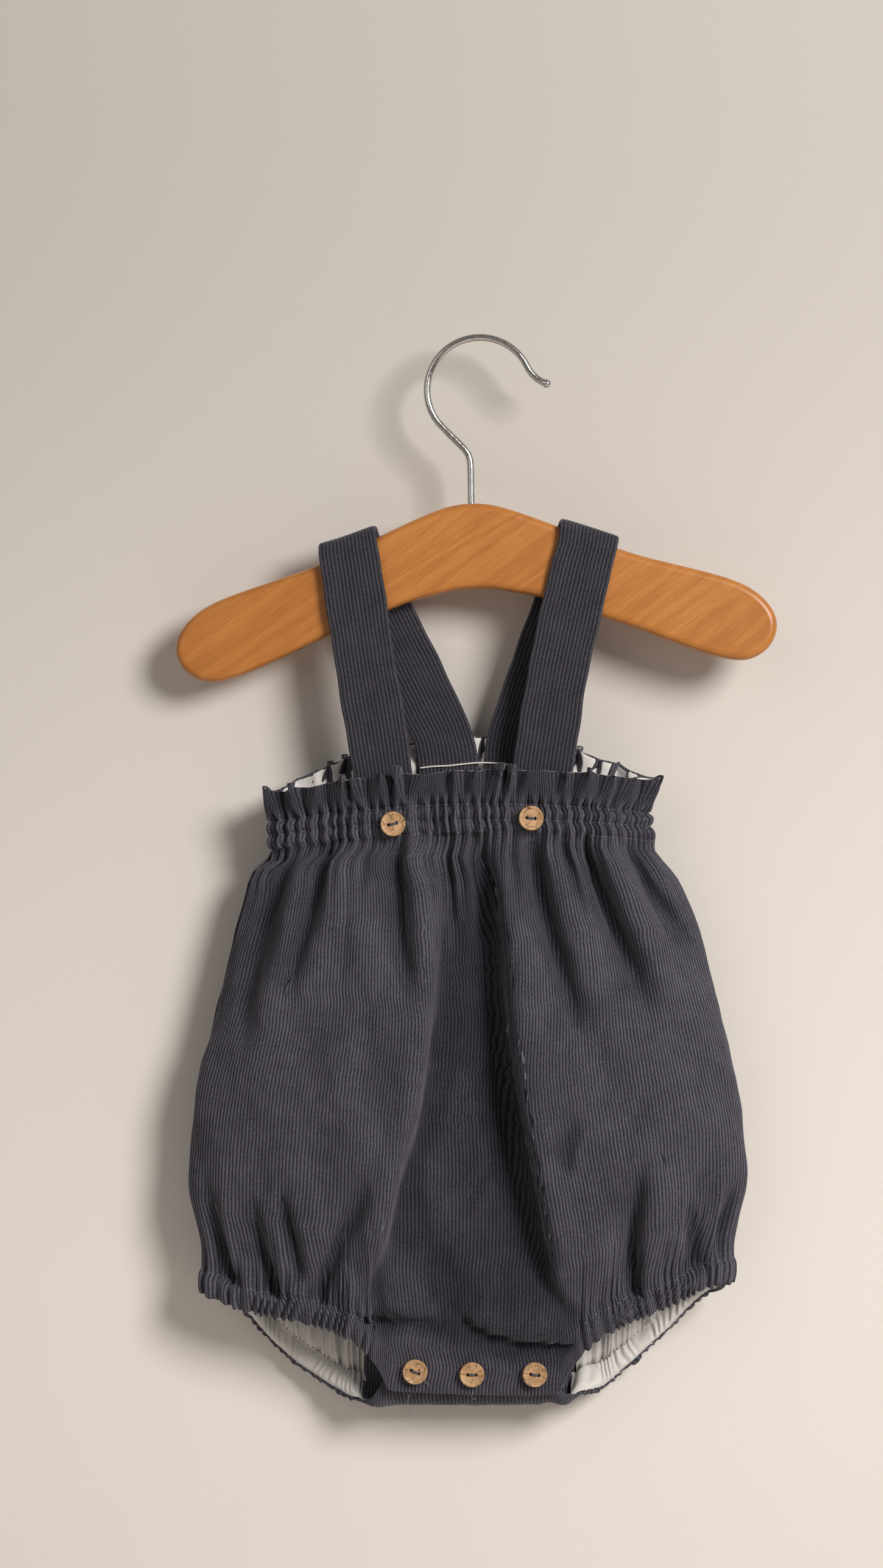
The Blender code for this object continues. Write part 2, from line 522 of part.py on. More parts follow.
def front_point(across, level, share=1.0):
    """A point of the front panel's outside, without its gathers."""
    if level < STITCH_3:
        x, depth, z = waist_row(FRONT_WAIST, across, level)
        return np.stack([x, -depth - SEAM_GAP / 2, z], axis=1)
    if level <= CASING:
        x, z, spread = body_spread(across, level, FRONT_HEM, FRONT_WAIST)
    else:
        down = level - CASING
        seam_x, seam_z, hem_x, hem_z = (curve_through(FRONT_HEM, 0, k, across) for k in range(1, 5))
        x = seam_x + (hem_x - seam_x) * down
        z = seam_z + (hem_z - seam_z) * down
        first = FRONT_HEM[0][1] + (FRONT_HEM[0][3] - FRONT_HEM[0][1]) * down
        last = FRONT_HEM[-1][1] + (FRONT_HEM[-1][3] - FRONT_HEM[-1][1]) * down
        spread = (x - first) / (last - first)
    start = ease(level, STITCH_3, STITCH_3 + 0.1)
    _, waist_depth, _ = waist_row(FRONT_WAIST, across, STITCH_3)
    depth = standing_out(x, z, spread, 3, front_folds(x, z), share * start)
    depth = depth * start + waist_depth * (1 - start)
    return np.stack([x, -depth - SEAM_GAP / 2, z], axis=1)


def back_point(across, level, share=1.0):
    """A point of the back panel's outside, without its gathers."""
    if level < STITCH_3:
        x, depth, z = waist_row(BACK_WAIST, across, level)
        return np.stack([x, depth + SEAM_GAP / 2, z], axis=1)
    seam_x, seam_y, seam_z, hem_x, hem_y, hem_z, drop = (
        curve_through(BACK_HEM, 0, column, across) for column in range(1, 8))
    if level <= CASING:
        x, z, spread = body_spread(across, level, BACK_HEM, BACK_WAIST)
        start = ease(level, STITCH_3, STITCH_3 + 0.1)
        _, waist_depth, _ = waist_row(BACK_WAIST, across, STITCH_3)
        depth = standing_out(x, z, spread, 4, fold_heights(BACK_FOLDS, x, z), share * start)
        depth = depth * start + waist_depth * (1 - start)
        end = ease(level, STITCH_3 + 0.62, CASING)
        depth = depth * (1 - end) + seam_y * end
        return np.stack([x, depth + SEAM_GAP / 2, z], axis=1)
    part = level - CASING
    weight = 1 - part ** 2 * (3 - 2 * part)
    turned = ease(drop, 0, 12)
    weight = (1 - part) * (1 - turned) + weight * turned
    x = seam_x * weight + hem_x * (1 - weight)
    y = seam_y * weight + hem_y * (1 - weight)
    z = seam_z * weight + hem_z * (1 - weight) - turned * drop * 3 * part * (1 - part)
    return np.stack([x, y + SEAM_GAP / 2, z], axis=1)


def columns(point, level, count, reach=(0.0, 1.0)):
    """Spread columns evenly along the cloth of a row; give their places across."""
    dense = reach[0] + (reach[1] - reach[0]) * (0.5 - 0.5 * np.cos(np.linspace(0, math.pi, 900)))
    points = point(dense, level)
    length = np.concatenate([[0.0], np.cumsum(np.linalg.norm(np.diff(points, axis=0), axis=1))])
    return np.interp(np.linspace(0, length[-1], count + 1), length, dense)


def outward(point, across, level, facing):
    """Direction out of the cloth, from its shape with the folds softened."""
    low = max(level - NORMAL_REACH, EDGE)
    high = min(level + NORMAL_REACH, HEM)
    along = (point(np.clip(across + NORMAL_STEP, 0, 1), level, NORMAL_FOLD_SHARE)
             - point(np.clip(across - NORMAL_STEP, 0, 1), level, NORMAL_FOLD_SHARE))
    down = point(across, high, NORMAL_FOLD_SHARE) - point(across, low, NORMAL_FOLD_SHARE)
    normal = np.cross(along, down) * facing
    normal /= np.linalg.norm(normal, axis=1)[:, None]
    sides = ease(np.minimum(across, 1 - across), 0.0, NORMAL_SEAM_REACH)[:, None]
    seam = np.zeros_like(normal)
    seam[:, 0] = np.where(across < 0.5, -1.0, 1.0)
    normal = normal * sides + seam * (1 - sides)
    return normal / np.linalg.norm(normal, axis=1)[:, None]


def uneven(part, count, seed):
    """Phase of a row of gathers whose widths differ."""
    wander = np.zeros_like(part)
    for size, turns, shift in GATHER_WANDER:
        wander += size * np.sin(2 * math.pi * turns * part + shift * seed)
    return 2 * math.pi * (count * part + wander * np.sin(math.pi * part))


class Panel:
    """A panel of the garment with its gathers and waves."""

    def __init__(self, point, facing, gathers, waves, leg_gathers, leg_reach, seed):
        self.point = point
        self.facing = facing
        self.gathers = gathers
        self.waves = waves
        self.leg_gathers = leg_gathers
        self.leg_reach = leg_reach
        self.seed = seed

    def wave(self, part, level):
        """Waves of the ruffle, which both faces of the cloth follow."""
        size = RUFFLE_WAVE_HEIGHT * (1 - ease(level, EDGE, STITCH_1))
        size = size * (0.75 + 0.25 * np.sin(2 * math.pi * 2.6 * part + self.seed))
        ends = ease(np.minimum(part, 1 - part), 0.0, 1.5 * SEAM_FADE)
        return size * ends * np.sin(uneven(part, self.waves, self.seed))

    def gather(self, part, across, level):
        """Gathers that only the outside shows."""
        ends = ease(np.minimum(part, 1 - part), 0.0, SEAM_FADE)
        ridge = 0.5 - 0.5 * np.cos(uneven(part, self.gathers, self.seed + 1.0))
        waist = ease(level, EDGE, STITCH_1 * 0.8) * (1 - ease(level, STITCH_3, STITCH_3 + 0.15))
        height = WAIST_GATHER_HEIGHT * waist * ridge
        puff = CHANNEL_PUFF * math.sin(math.pi * (level - STITCH_1)) ** 2
        if STITCH_1 < level < STITCH_3:
            height = height + puff
        leg_left, leg_right = self.leg_reach
        in_leg = (1 - ease(across, leg_left - LEG_CORNER_FADE, leg_left)
                  + ease(across, leg_right, leg_right + LEG_CORNER_FADE))
        low = ease(level, CASING - 0.12, CASING)
        leg_ridge = 0.5 - 0.5 * np.cos(2 * math.pi * self.leg_gathers * across / leg_left)
        other = 0.5 - 0.5 * np.cos(2 * math.pi * self.leg_gathers * (1 - across) / (1 - leg_right))
        leg_ridge = np.where(across < 0.5, leg_ridge, other)
        return (height + LEG_GATHER_HEIGHT * low * in_leg * leg_ridge) * ends

    def wall(self, level):
        """Thickness of the panel's cloth."""
        return PANEL_WALL + (HEM_WALL - PANEL_WALL) * float(ease(level, CASING - 0.05, CASING))

    def row(self, level, count, inward, gathered):
        """A row of points, a distance inwards of the panel's outside."""
        across = columns(self.point, level, count)
        part = np.linspace(0, 1, count + 1)
        away = np.minimum(abs(across - self.leg_reach[0] - CORNER_SHIFT),
                          abs(across - self.leg_reach[1] + CORNER_SHIFT))
        corner = ease(CORNER_REACH - away, 0, CORNER_REACH)
        thinned = CORNER_THINNING * corner * float(ease(level, CASING, CASING + 0.3))
        out = self.wave(part, level) - inward * (1 - thinned)
        if gathered:
            out = out + self.gather(part, across, level)
        normal = outward(self.point, across, level, self.facing)
        return self.point(across, level) + normal * out[:, None], part, across

    def sheet(self, rows):
        """Outside and inside rows of the panel's own wall."""
        outside = []
        inside = []
        for level, outer_count, inner_count in rows:
            outside.append((level,) + self.row(level, outer_count, 0.0, True)[:2])
            if inner_count:
                inside.append((level,) + self.row(level, inner_count, self.wall(level), False)[:2])
        return outside, inside

    def lining(self, rows, free_rows, reach, gathers, trim_start, trim_end):
        """Rows of a lining that lies on the panel's inner points, moved inwards."""
        outside = []
        inside = []
        for level, count in rows:
            points, part, across = self.row(level, count, self.wall(level) + LINING_GAP, False)
            keep = (across >= reach[0]) & (across <= reach[1])
            outside.append((level, points[keep], part[keep]))
        for level, count in free_rows:
            full = FINE_COLUMNS if gathers else count
            inward = self.wall(level) + LINING_GAP + LINING_WALL
            points, part, across = self.row(level, full, inward, False)
            if gathers:
                ends = np.interp(reach, across, part)
                chosen = np.linspace(ends[0], ends[1], count + 1)
                points = np.stack([np.interp(chosen, part, values) for values in points.T], axis=1)
                across = np.interp(chosen, part, across)
                part = chosen
                if count >= 3 * gathers:
                    ridge = 0.5 - 0.5 * np.cos(np.linspace(0, 2 * math.pi * count / 3, count + 1))
                    normal = outward(self.point, across, level, self.facing)
                    points = points - normal * (LEG_GATHER_HEIGHT * ridge)[:, None]
            inside.append((level, points, part))
        for chain in (outside, inside):
            if trim_start:
                chain[0] = between(chain[0], chain[1], trim_start)
            if trim_end:
                chain[-1] = between(chain[-1], chain[-2], trim_end)
        return outside, inside


def between(row, toward, share):
    """Move a row a share of the way to the next one."""
    level, points, part = row
    _, other, other_part = toward
    moved = np.stack([np.interp(part, other_part, other[:, axis]) for axis in range(3)], axis=1)
    return level, points * (1 - share) + moved * share, part


def link(first, second, faces):
    """Join two chains of vertices that can have unlike counts."""
    ids_a, part_a = first
    ids_b, part_b = second
    i = 0
    j = 0
    while i < len(ids_a) - 1 or j < len(ids_b) - 1:
        step_a = i < len(ids_a) - 1
        if step_a and j < len(ids_b) - 1:
            step_a = part_a[i + 1] + part_a[i] <= part_b[j + 1] + part_b[j] + 1e-9
        if step_a:
            faces.append((ids_a[i], ids_a[i + 1], ids_b[j]))
            i += 1
        else:
            faces.append((ids_a[i], ids_b[j + 1], ids_b[j]))
            j += 1


def closed_wall(name, outside, inside, material):
    """Build one closed wall from its outside and inside rows."""
    points = []
    faces = []
    chains = []
    for rows in (outside, inside):
        chain = []
        for level, row, part in rows:
            start = len(points)
            points.extend(row)
            chain.append((level, list(range(start, start + len(row))), list(part)))
        for upper, lower in zip(chain, chain[1:]):
            link(upper[1:], lower[1:], faces)
        chains.append(chain)
    outer, inner = chains
    link(outer[0][1:], inner[0][1:], faces)
    link(outer[-1][1:], inner[-1][1:], faces)
    for end in (0, -1):
        link(([row[1][end] for row in outer], [row[0] for row in outer]),
             ([row[1][end] for row in inner], [row[0] for row in inner]), faces)
    return add_mesh(name, points, faces, material)


def add_mesh(name, points, faces, material):
    """Make a mesh object with its faces turned outwards."""
    mesh = bpy.data.meshes.new(name)
    mesh.from_pydata([tuple(float(value) * MM for value in point) for point in points], [], faces)
    work = bmesh.new()
    work.from_mesh(mesh)
    bmesh.ops.recalc_face_normals(work, faces=work.faces)
    if work.calc_volume(signed=True) < 0:
        bmesh.ops.reverse_faces(work, faces=work.faces)
    work.to_mesh(mesh)
    work.free()
    return place(bpy.data.objects.new(name, mesh), material)


def place(thing, material):
    """Put an object into the part and give it its own material."""
    thing.data.materials.clear()
    red, green, blue, rough = COLOURS[material]
    own = bpy.data.materials.new(thing.name + "_" + material)
    own.use_nodes = True
    surface = own.node_tree.nodes["Principled BSDF"]
    surface.inputs["Base Color"].default_value = (red, green, blue, 1.0)
    surface.inputs["Roughness"].default_value = rough
    surface.inputs["Metallic"].default_value = 1.0 if material == "chrome" else 0.0
    own.diffuse_color = (red, green, blue, 1.0)
    thing.data.materials.append(own)
    PART.objects.link(thing)
    return thing


def strap(name, stations):
    """Sweep a flat folded strap along its stations."""
    half_width = STRAP_WIDTH / 2
    flat_half = half_width - STRAP_ROUNDING
    half_wall = STRAP_WALL / 2
    section = ((-half_width, 0.0), (-flat_half, half_wall), (0.0, half_wall), (flat_half, half_wall),
               (half_width, 0.0), (flat_half, -half_wall), (0.0, -half_wall), (-flat_half, -half_wall))
    middle = np.array([row[1:4] for row in stations])
    way = np.gradient(middle, axis=0)
    points = []
    for centre, along, row in zip(middle, way, stations):
        turn = math.radians(row[4])
        along = along / np.linalg.norm(along)
        width = np.array([math.cos(turn), 0.0, math.sin(turn)])
        width = width - along * np.dot(width, along)
        width = width / np.linalg.norm(width)
        out = np.cross(width, along)
        for across, thick in section:
            points.append(centre + width * across + out * thick)
    count = len(section)
    faces = []
    for ring in range(len(stations) - 1):
        for k in range(count):
            after = (k + 1) % count
            faces.append((ring * count + k, ring * count + after,
                          (ring + 1) * count + after, (ring + 1) * count + k))
    faces.append(tuple(range(count)))
    faces.append(tuple(range((len(stations) - 1) * count, len(stations) * count)))
    return add_mesh(name, points, faces, "corduroy")


def smooth_stations(stations, extra):
    """Add stations between the given ones on a smooth line."""
    rows = [(index,) + row[1:] for index, row in enumerate(stations)]
    places = np.linspace(0, len(rows) - 1, (len(rows) - 1) * extra + 1)
    values = [curve_through(rows, 0, column, places) for column in range(1, 5)]
    return [("between",) + tuple(row) for row in np.array(values).T]


def board_turn(thing):
    """Turn the hanger board as it hangs: rolled and with its right end nearer."""
    thing.rotation_mode = "XYZ"
    centre = Vector((BOARD_CENTRE_X * MM, 0, 0))
    thing.location = (centre.x * math.cos(BOARD_ROLL), 0, centre.x * math.sin(BOARD_ROLL))
    thing.rotation_euler = (0, -BOARD_ROLL, -BOARD_YAW)


def hanger_board():
    """Flat board with rounded edges and a hole for the hook's stem."""
    half = [(out, top) for out, top, _ in BOARD_HALF]
    under = [(out, bottom) for out, _, bottom in BOARD_HALF]
    right = half + list(BOARD_END) + under[::-1]
    left = [(-x, z) for x, z in right[1:-1]][::-1]
    outline = right + left
    flat = bpy.data.curves.new("hanger_board_outline", "CURVE")
    flat.dimensions = "2D"
    flat.fill_mode = "BOTH"
    flat.extrude = (BOARD_THICKNESS / 2 - BOARD_ROUNDING) * MM
    flat.bevel_depth = BOARD_ROUNDING * MM
    flat.bevel_resolution = 2
    flat.offset = -BOARD_ROUNDING * MM
    spline = flat.splines.new("POLY")
    spline.points.add(len(outline) - 1)
    for point, (x, z) in zip(spline.points, outline):
        point.co = (x * MM, z * MM, 0.0, 1.0)
    spline.use_cyclic_u = True
    shape = bpy.data.objects.new("hanger_board_shape", flat)
    PART.objects.link(shape)
    bpy.context.view_layer.update()
    mesh = bpy.data.meshes.new_from_object(shape.evaluated_get(bpy.context.evaluated_depsgraph_get()))
    bpy.data.objects.remove(shape)
    mesh.name = "hanger_board"
    work = bmesh.new()
    work.from_mesh(mesh)
    bmesh.ops.remove_doubles(work, verts=work.verts, dist=1e-6)
    bmesh.ops.rotate(work, verts=work.verts, cent=(0, 0, 0),
                     matrix=Vector((0, 0, 1)).rotation_difference(Vector((0, -1, 0))).to_matrix())
    bmesh.ops.recalc_face_normals(work, faces=work.faces)
    work.to_mesh(mesh)
    work.free()
    mesh.polygons.foreach_set("use_smooth", [True] * len(mesh.polygons))
    board = place(bpy.data.objects.new("hanger_board", mesh), "wood")
    board_turn(board)
    hole = bpy.data.meshes.new("stem_hole")
    drill = bmesh.new()
    bmesh.ops.create_cone(drill, cap_ends=True, segments=16, radius1=STEM_HOLE_RADIUS * MM,
                          radius2=STEM_HOLE_RADIUS * MM, depth=2 * STEM_DEPTH * MM)
    drill.to_mesh(hole)
    drill.free()
    cutter = bpy.data.objects.new("stem_hole", hole)
    stem_x, stem_z = HOOK_NECK[-1]
    cutter.location = (stem_x * MM, 0, (stem_z - 0.6) * MM)
    cut(board, cutter)
    return board


def cut(thing, cutter):
    """Take the cutter's shape out of an object."""
    cutter.hide_render = True
    cutter.display_type = "WIRE"
    CUTTERS.objects.link(cutter)
    take = thing.modifiers.new("cut_" + cutter.name, "BOOLEAN")
    take.operation = "DIFFERENCE"
    take.solver = "EXACT"
    take.object = cutter


def hanger_hook():
    """Round wire bent into a hook, thickened to a ball at its tip."""
    centre_x, centre_z = HOOK_ARC_CENTRE
    stem_x, stem_z = HOOK_NECK[-1]
    line = [(stem_x, stem_z - STEM_DEPTH + 1.2, 1.0)]
    line += [(x, z, 1.0) for x, z in HOOK_NECK[::-1]]
    for turn in np.linspace(HOOK_ARC_START, HOOK_ARC_END, HOOK_ARC_STEPS):
        line.append((centre_x + HOOK_ARC_RADIUS * math.cos(turn),
                     centre_z + HOOK_ARC_RADIUS * math.sin(turn), 1.0))
    line += [(x, z, 1.0) for x, z in HOOK_TIP]
    ball = Vector(HOOK_BALL_CENTRE)
    way = (ball - Vector(HOOK_TIP[-1])).normalized()
    for step in (-0.6, -0.3, 0.0, 0.3, 0.6, 0.82, 0.97):
        place_on = ball + way * (step * BALL_RADIUS)
        radius = BALL_RADIUS * math.sqrt(1 - step * step) / WIRE_RADIUS
        line.append((place_on.x, place_on.y, radius))
    wire = bpy.data.curves.new("hanger_hook", "CURVE")
    wire.dimensions = "3D"
    wire.bevel_depth = WIRE_RADIUS * MM
    wire.bevel_resolution = 2
    wire.use_fill_caps = True
    spline = wire.splines.new("POLY")
    spline.points.add(len(line) - 1)
    for point, (x, z, radius) in zip(spline.points, line):
        point.co = (x * MM, 0.0, z * MM, 1.0)
        point.radius = radius
    spline.use_smooth = True
    return place(bpy.data.objects.new("hanger_hook", wire), "chrome")


def button(name, x, z, turn, panel):
    """Turned button with two holes, resting on the cloth's highest points under it."""
    profile = ((0.0, 0.0), (BUTTON_RADIUS - 0.6, 0.0), (BUTTON_RADIUS, 0.7),
               (BUTTON_RADIUS, BUTTON_THICKNESS - 0.5), (BUTTON_RADIUS - 0.7, BUTTON_THICKNESS),
               (BUTTON_RADIUS - 1.6, BUTTON_THICKNESS - BUTTON_RIM), (0.0, BUTTON_THICKNESS - BUTTON_RIM))
    mesh = bpy.data.meshes.new(name)
    mesh.from_pydata([(radius * MM, 0.0, height * MM) for radius, height in profile],
                     [(k, k + 1) for k in range(len(profile) - 1)], [])
    disc = place(bpy.data.objects.new(name, mesh), "shell")
    lathe = disc.modifiers.new("turn", "SCREW")
    lathe.axis = "Z"
    lathe.steps = BUTTON_STEPS
    lathe.render_steps = BUTTON_STEPS
    lathe.merge_threshold = 0.00001
    lathe.use_merge_vertices = True
    lathe.use_normal_calculate = True
    lathe.use_smooth_shade = True
    spots = np.array([vertex.co for vertex in panel.data.vertices]) / MM
    under = np.hypot(spots[:, 0] - x, spots[:, 2] - z) < BUTTON_RADIUS + BUTTON_CLEARANCE
    front = spots[under][:, 1].min() - SEAM_GAP
    spin = math.radians(turn)
    disc.location = (x * MM, front * MM, z * MM)
    disc.rotation_euler = (math.radians(90), -spin, 0)
    for side in (-1, 1):
        hole = bpy.data.meshes.new(name + "_hole")
        drill = bmesh.new()
        bmesh.ops.create_cone(drill, cap_ends=True, segments=8, radius1=BUTTON_HOLE_RADIUS * MM,
                              radius2=BUTTON_HOLE_RADIUS * MM, depth=3 * BUTTON_THICKNESS * MM)
        drill.to_mesh(hole)
        drill.free()
        cutter = bpy.data.objects.new(name + ("_hole_left" if side < 0 else "_hole_right"), hole)
        off = side * BUTTON_HOLE_SPACING / 2
        cutter.location = ((x + off * math.cos(spin)) * MM, front * MM, (z + off * math.sin(spin)) * MM)
        cutter.rotation_euler = (math.radians(90), 0, 0)
        cut(disc, cutter)
    return disc


for old in list(bpy.data.objects):
    bpy.data.objects.remove(old)
PART = bpy.data.collections.new("suspender_trousers")
CUTTERS = bpy.data.collections.new("cutters")
bpy.context.scene.collection.children.link(PART)
bpy.context.scene.collection.children.link(CUTTERS)

front = Panel(front_point, -1.0, FRONT_GATHERS, FRONT_RUFFLE_WAVES, FRONT_LEG_GATHERS,
              LEG_REACH, FRONT_SEED)
back = Panel(back_point, 1.0, BACK_GATHERS, BACK_RUFFLE_WAVES, BACK_LEG_GATHERS,
             LEG_REACH, BACK_SEED)
front_panel = closed_wall("front_panel", *front.sheet(FRONT_ROWS), "corduroy")
back_panel = closed_wall("back_panel", *back.sheet(BACK_ROWS), "corduroy")
front_facing = front.lining(FRONT_FACING_ROWS, FRONT_FACING_FREE, FULL_WIDTH, 0, LINING_SET_BACK, 0)
closed_wall("front_waist_facing", *front_facing, "lining")
back_facing = back.lining(BACK_FACING_ROWS, BACK_FACING_FREE, FULL_WIDTH, 0, LINING_SET_BACK, 0)
closed_wall("back_waist_facing", *back_facing, "lining")
for side, reach in zip(("left", "right"), LEG_LINING_REACH):
    leg_lining = back.lining(LEG_LINING_ROWS, LEG_LINING_FREE, reach, LEG_LINING_GATHERS, 0,
                             2 * LINING_SET_BACK)
    closed_wall("leg_lining_" + side, *leg_lining, "lining")

strap("strap_left", smooth_stations(STRAP_LEFT, 2))
strap("strap_right", smooth_stations(STRAP_RIGHT, 2))
hanger_board()
hanger_hook()
for name, x, z, turn in BUTTONS:
    button(name, x, z, turn, front_panel)
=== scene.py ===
"""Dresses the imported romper: needlecord with its wales, gathers, white cotton, wood and buttons.

Lengths are in millimetres until a mesh is made. X runs to the viewer's right, Y away from the
viewer and Z up. The origin is at the inside top of the hanger's hook.
"""
import math

import bpy
import bmesh
import numpy as np
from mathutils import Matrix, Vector


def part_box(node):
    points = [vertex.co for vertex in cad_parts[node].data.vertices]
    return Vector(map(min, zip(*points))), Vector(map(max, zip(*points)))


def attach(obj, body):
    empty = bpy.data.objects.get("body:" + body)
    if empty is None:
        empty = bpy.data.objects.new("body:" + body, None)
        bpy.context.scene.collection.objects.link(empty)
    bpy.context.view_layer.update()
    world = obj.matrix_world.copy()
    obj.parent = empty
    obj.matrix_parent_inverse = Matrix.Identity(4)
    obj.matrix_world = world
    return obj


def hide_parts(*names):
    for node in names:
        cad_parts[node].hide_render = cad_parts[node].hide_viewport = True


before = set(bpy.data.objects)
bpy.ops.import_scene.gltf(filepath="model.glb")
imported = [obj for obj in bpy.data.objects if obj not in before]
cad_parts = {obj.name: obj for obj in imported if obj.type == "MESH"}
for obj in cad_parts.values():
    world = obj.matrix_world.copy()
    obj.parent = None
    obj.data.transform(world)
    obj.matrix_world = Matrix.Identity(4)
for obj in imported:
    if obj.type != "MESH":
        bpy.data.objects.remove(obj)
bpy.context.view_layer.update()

MM = 0.001

# Cloth
SEAM_GAP = 0.3
STRAP_WALL = 2.4
STRAP_WIDTH = 29.0
FRONT_GATHERS = 36
BACK_GATHERS = 24
CHANNEL_PUFF = 0.9
FRONT_RUFFLE_WAVES = 18
BACK_RUFFLE_WAVES = 15

# How the widths of the gathers vary: size, turns along the row, shift
GATHER_WANDER = ((0.30, 3.3, 1.0), (0.22, 7.7, 2.0))

# Share of a fold's height that its middle keeps, and where on the side profile folds fade in
FOLD_MIDDLE = 0.75
FOLD_LINE_STEPS = 25
FOLD_FADE = (0.12, 0.6)

# Levels of the cloth's rows, from 0 at the ruffle edge down to the hem
STITCH_ROWS = (1.0, 2.0, 3.0)
STITCH_3 = 3.0
CASING = 4.0
HEM = 5.0

# Hanger
BOARD_THICKNESS = 13.0
BOARD_ROUNDING = 3.5
BOARD_CENTRE_X = -7.7
BOARD_ROLL = math.radians(2.3)
BOARD_YAW = math.radians(3.0)
WIRE_RADIUS = 1.75
BALL_RADIUS = 2.2
HOOK_ARC_STEPS = 24
STEM_DEPTH = 14.0

# Buttons
BUTTON_RADIUS = 6.0
BUTTON_HOLE_RADIUS = 0.85
BUTTON_HOLE_SPACING = 3.8
BUTTON_SIDES = 56

# Section of a button: distance from its middle, height over its back
BUTTON_PROFILE = ((0.0, 0.0), (4.6, 0.0), (5.4, 0.18), (5.85, 0.6), (6.0, 1.1), (5.98, 1.7),
                  (5.8, 2.15), (5.5, 2.38), (5.15, 2.36), (4.8, 2.18), (4.4, 2.02), (3.6, 1.95),
                  (0.0, 1.92))

LEG_REACH = (0.345, 0.655)
FRONT_SEED = 0.7
BACK_SEED = 2.1
FLAT_WIDTH = 325.0
FACING_DROP = 0.9
LEG_LINING_REACH = ((0.012, 0.354), (0.648, 0.988))
LEG_LINING_TOP = 3.40
LEG_LINING_END = 4.91
LEG_LINING_COLUMNS = 300
LEG_LINING_FLUTES = 19

# White line of stitching across the back ends of the straps
BACK_STITCH_LINE = (
    (-28.8, 7.0, -207.0), (-22.0, 7.0, -206.2), (-15.3, 7.0, -205.9), (-7.0, 7.0, -205.0),
    (0.9, 7.0, -204.4), (8.0, 7.1, -204.6), (15.8, 7.1, -205.6), (22.0, 7.1, -206.6),
)

# Loose ends of thread
LOOSE_THREADS = (
    ((-28.6, -21, -497.5), (-27.2, -22, -499.5), (-25.6, -22.5, -500.5), (-24.2, -23, -502.6)),
    ((-33.6, -19, -507), (-34.6, -20.5, -510.5), (-34, -21, -513.5), (-32.2, -21, -516)),
    ((-3.2, -21, -505), (-3.8, -21.8, -507.5), (-2.6, -22, -509), (-1.6, -21.6, -508.2)),
)

# Waist rows of the front: level, left x and z, middle z, right x and z, depth of the bulge
FRONT_WAIST = (
    # level left x left z mid z right x right z depth
    (0, -103, -217.9, -206.5, 86.7, -211.8, 17),
    (0.5, -103, -225.7, -215.9, 84.7, -220.7, 15.6),
    (1, -100.6, -233.1, -224.5, 81.7, -228.9, 14),
    (1.5, -101.5, -236.3, -228.3, 83.2, -232.2, 14.6),
    (2, -100.9, -239.8, -232.2, 82.6, -235.4, 14),
    (2.5, -101.2, -243.4, -235, 84, -239, 14.6),
    (3, -100.3, -246.9, -238, 84.7, -242.5, 14),
)

# The back's waist rows differ in their middle height alone
BACK_WAIST_MIDDLE = (-190, -197.9, -205.2, -208.9, -212.6, -216.3, -220)
BACK_WAIST = tuple(row[:3] + (middle,) + row[4:]
                   for row, middle in zip(FRONT_WAIST, BACK_WAIST_MIDDLE))

# Side outline and bulge of the body at each height
BODY_OUTLINE = (
    # height left x right x front back
    (-238, -100.3, 84.7, 14, 14),
    (-246.9, -100.8, 86, 14.5, 14.5),
    (-252.2, -105.6, 89.4, 15.5, 15),
    (-259.6, -111.2, 95.6, 17, 16),
    (-271.4, -114.2, 101.2, 19, 17),
    (-289.1, -119.2, 108, 21.5, 18),
    (-306.8, -123.3, 112, 24, 19.5),
    (-324.5, -127.4, 116.5, 26, 20.5),
    (-342.2, -132.2, 120.8, 28, 21),
    (-359.9, -136.3, 124.6, 29.5, 21.5),
    (-377.6, -138.7, 127.8, 30, 22),
    (-395.3, -140.1, 129, 30, 22),
    (-413, -140.7, 129.8, 29, 22),
    (-427.8, -139.8, 130.1, 27.5, 21.5),
    (-439.5, -136.9, 127, 26, 21),
    (-448.4, -135, 124.4, 24.5, 21),
    (-461.7, -135.2, 123.4, 22.5, 20.5),
    (-480, -135.2, 123.4, 18, 20),
    (-496, -135.2, 123.4, 14.5, 19),
    (-515, -135.2, 123.4, 14, 18),
)

# Front: the casing seam and the hem below it, from the left side seam to the right one
FRONT_HEM = (
    # across seam x seam z hem x hem z
    (0.000, -134.9, -448.6, -135.2, -460.6),
    (0.060, -117.5, -455.6, -117, -466.6),
    (0.120, -98.4, -460, -101.8, -470.2),
    (0.175, -84, -462.4, -88.6, -472.6),
    (0.235, -70, -465.6, -73, -476.4),
    (0.290, -60, -469.4, -62.7, -481.4),
    (0.330, -51.3, -476, -53.6, -489),
    (0.360, -46, -482.6, -47.5, -498.5),
    (0.380, -41.5, -486.6, -43.2, -506.2),
    (0.410, -30.5, -489, -31, -507.2),
    (0.500, -4.5, -490.4, -4.5, -508.2),
    (0.590, 25.5, -489, 25, -508.8),
    (0.620, 37.5, -484.6, 37, -508),
    (0.640, 42, -479.4, 42.6, -498.6),
    (0.670, 48.8, -474, 50.9, -487.3),
    (0.710, 58.5, -467.4, 61.5, -478.6),
    (0.765, 71, -461.4, 73.5, -472.6),
    (0.825, 84.5, -456, 86.5, -467.6),
    (0.880, 97, -450.2, 98, -462),
    (0.940, 110.5, -445.2, 111, -457),
    (1.000, 123.6, -443.6, 123.2, -455.6),
)

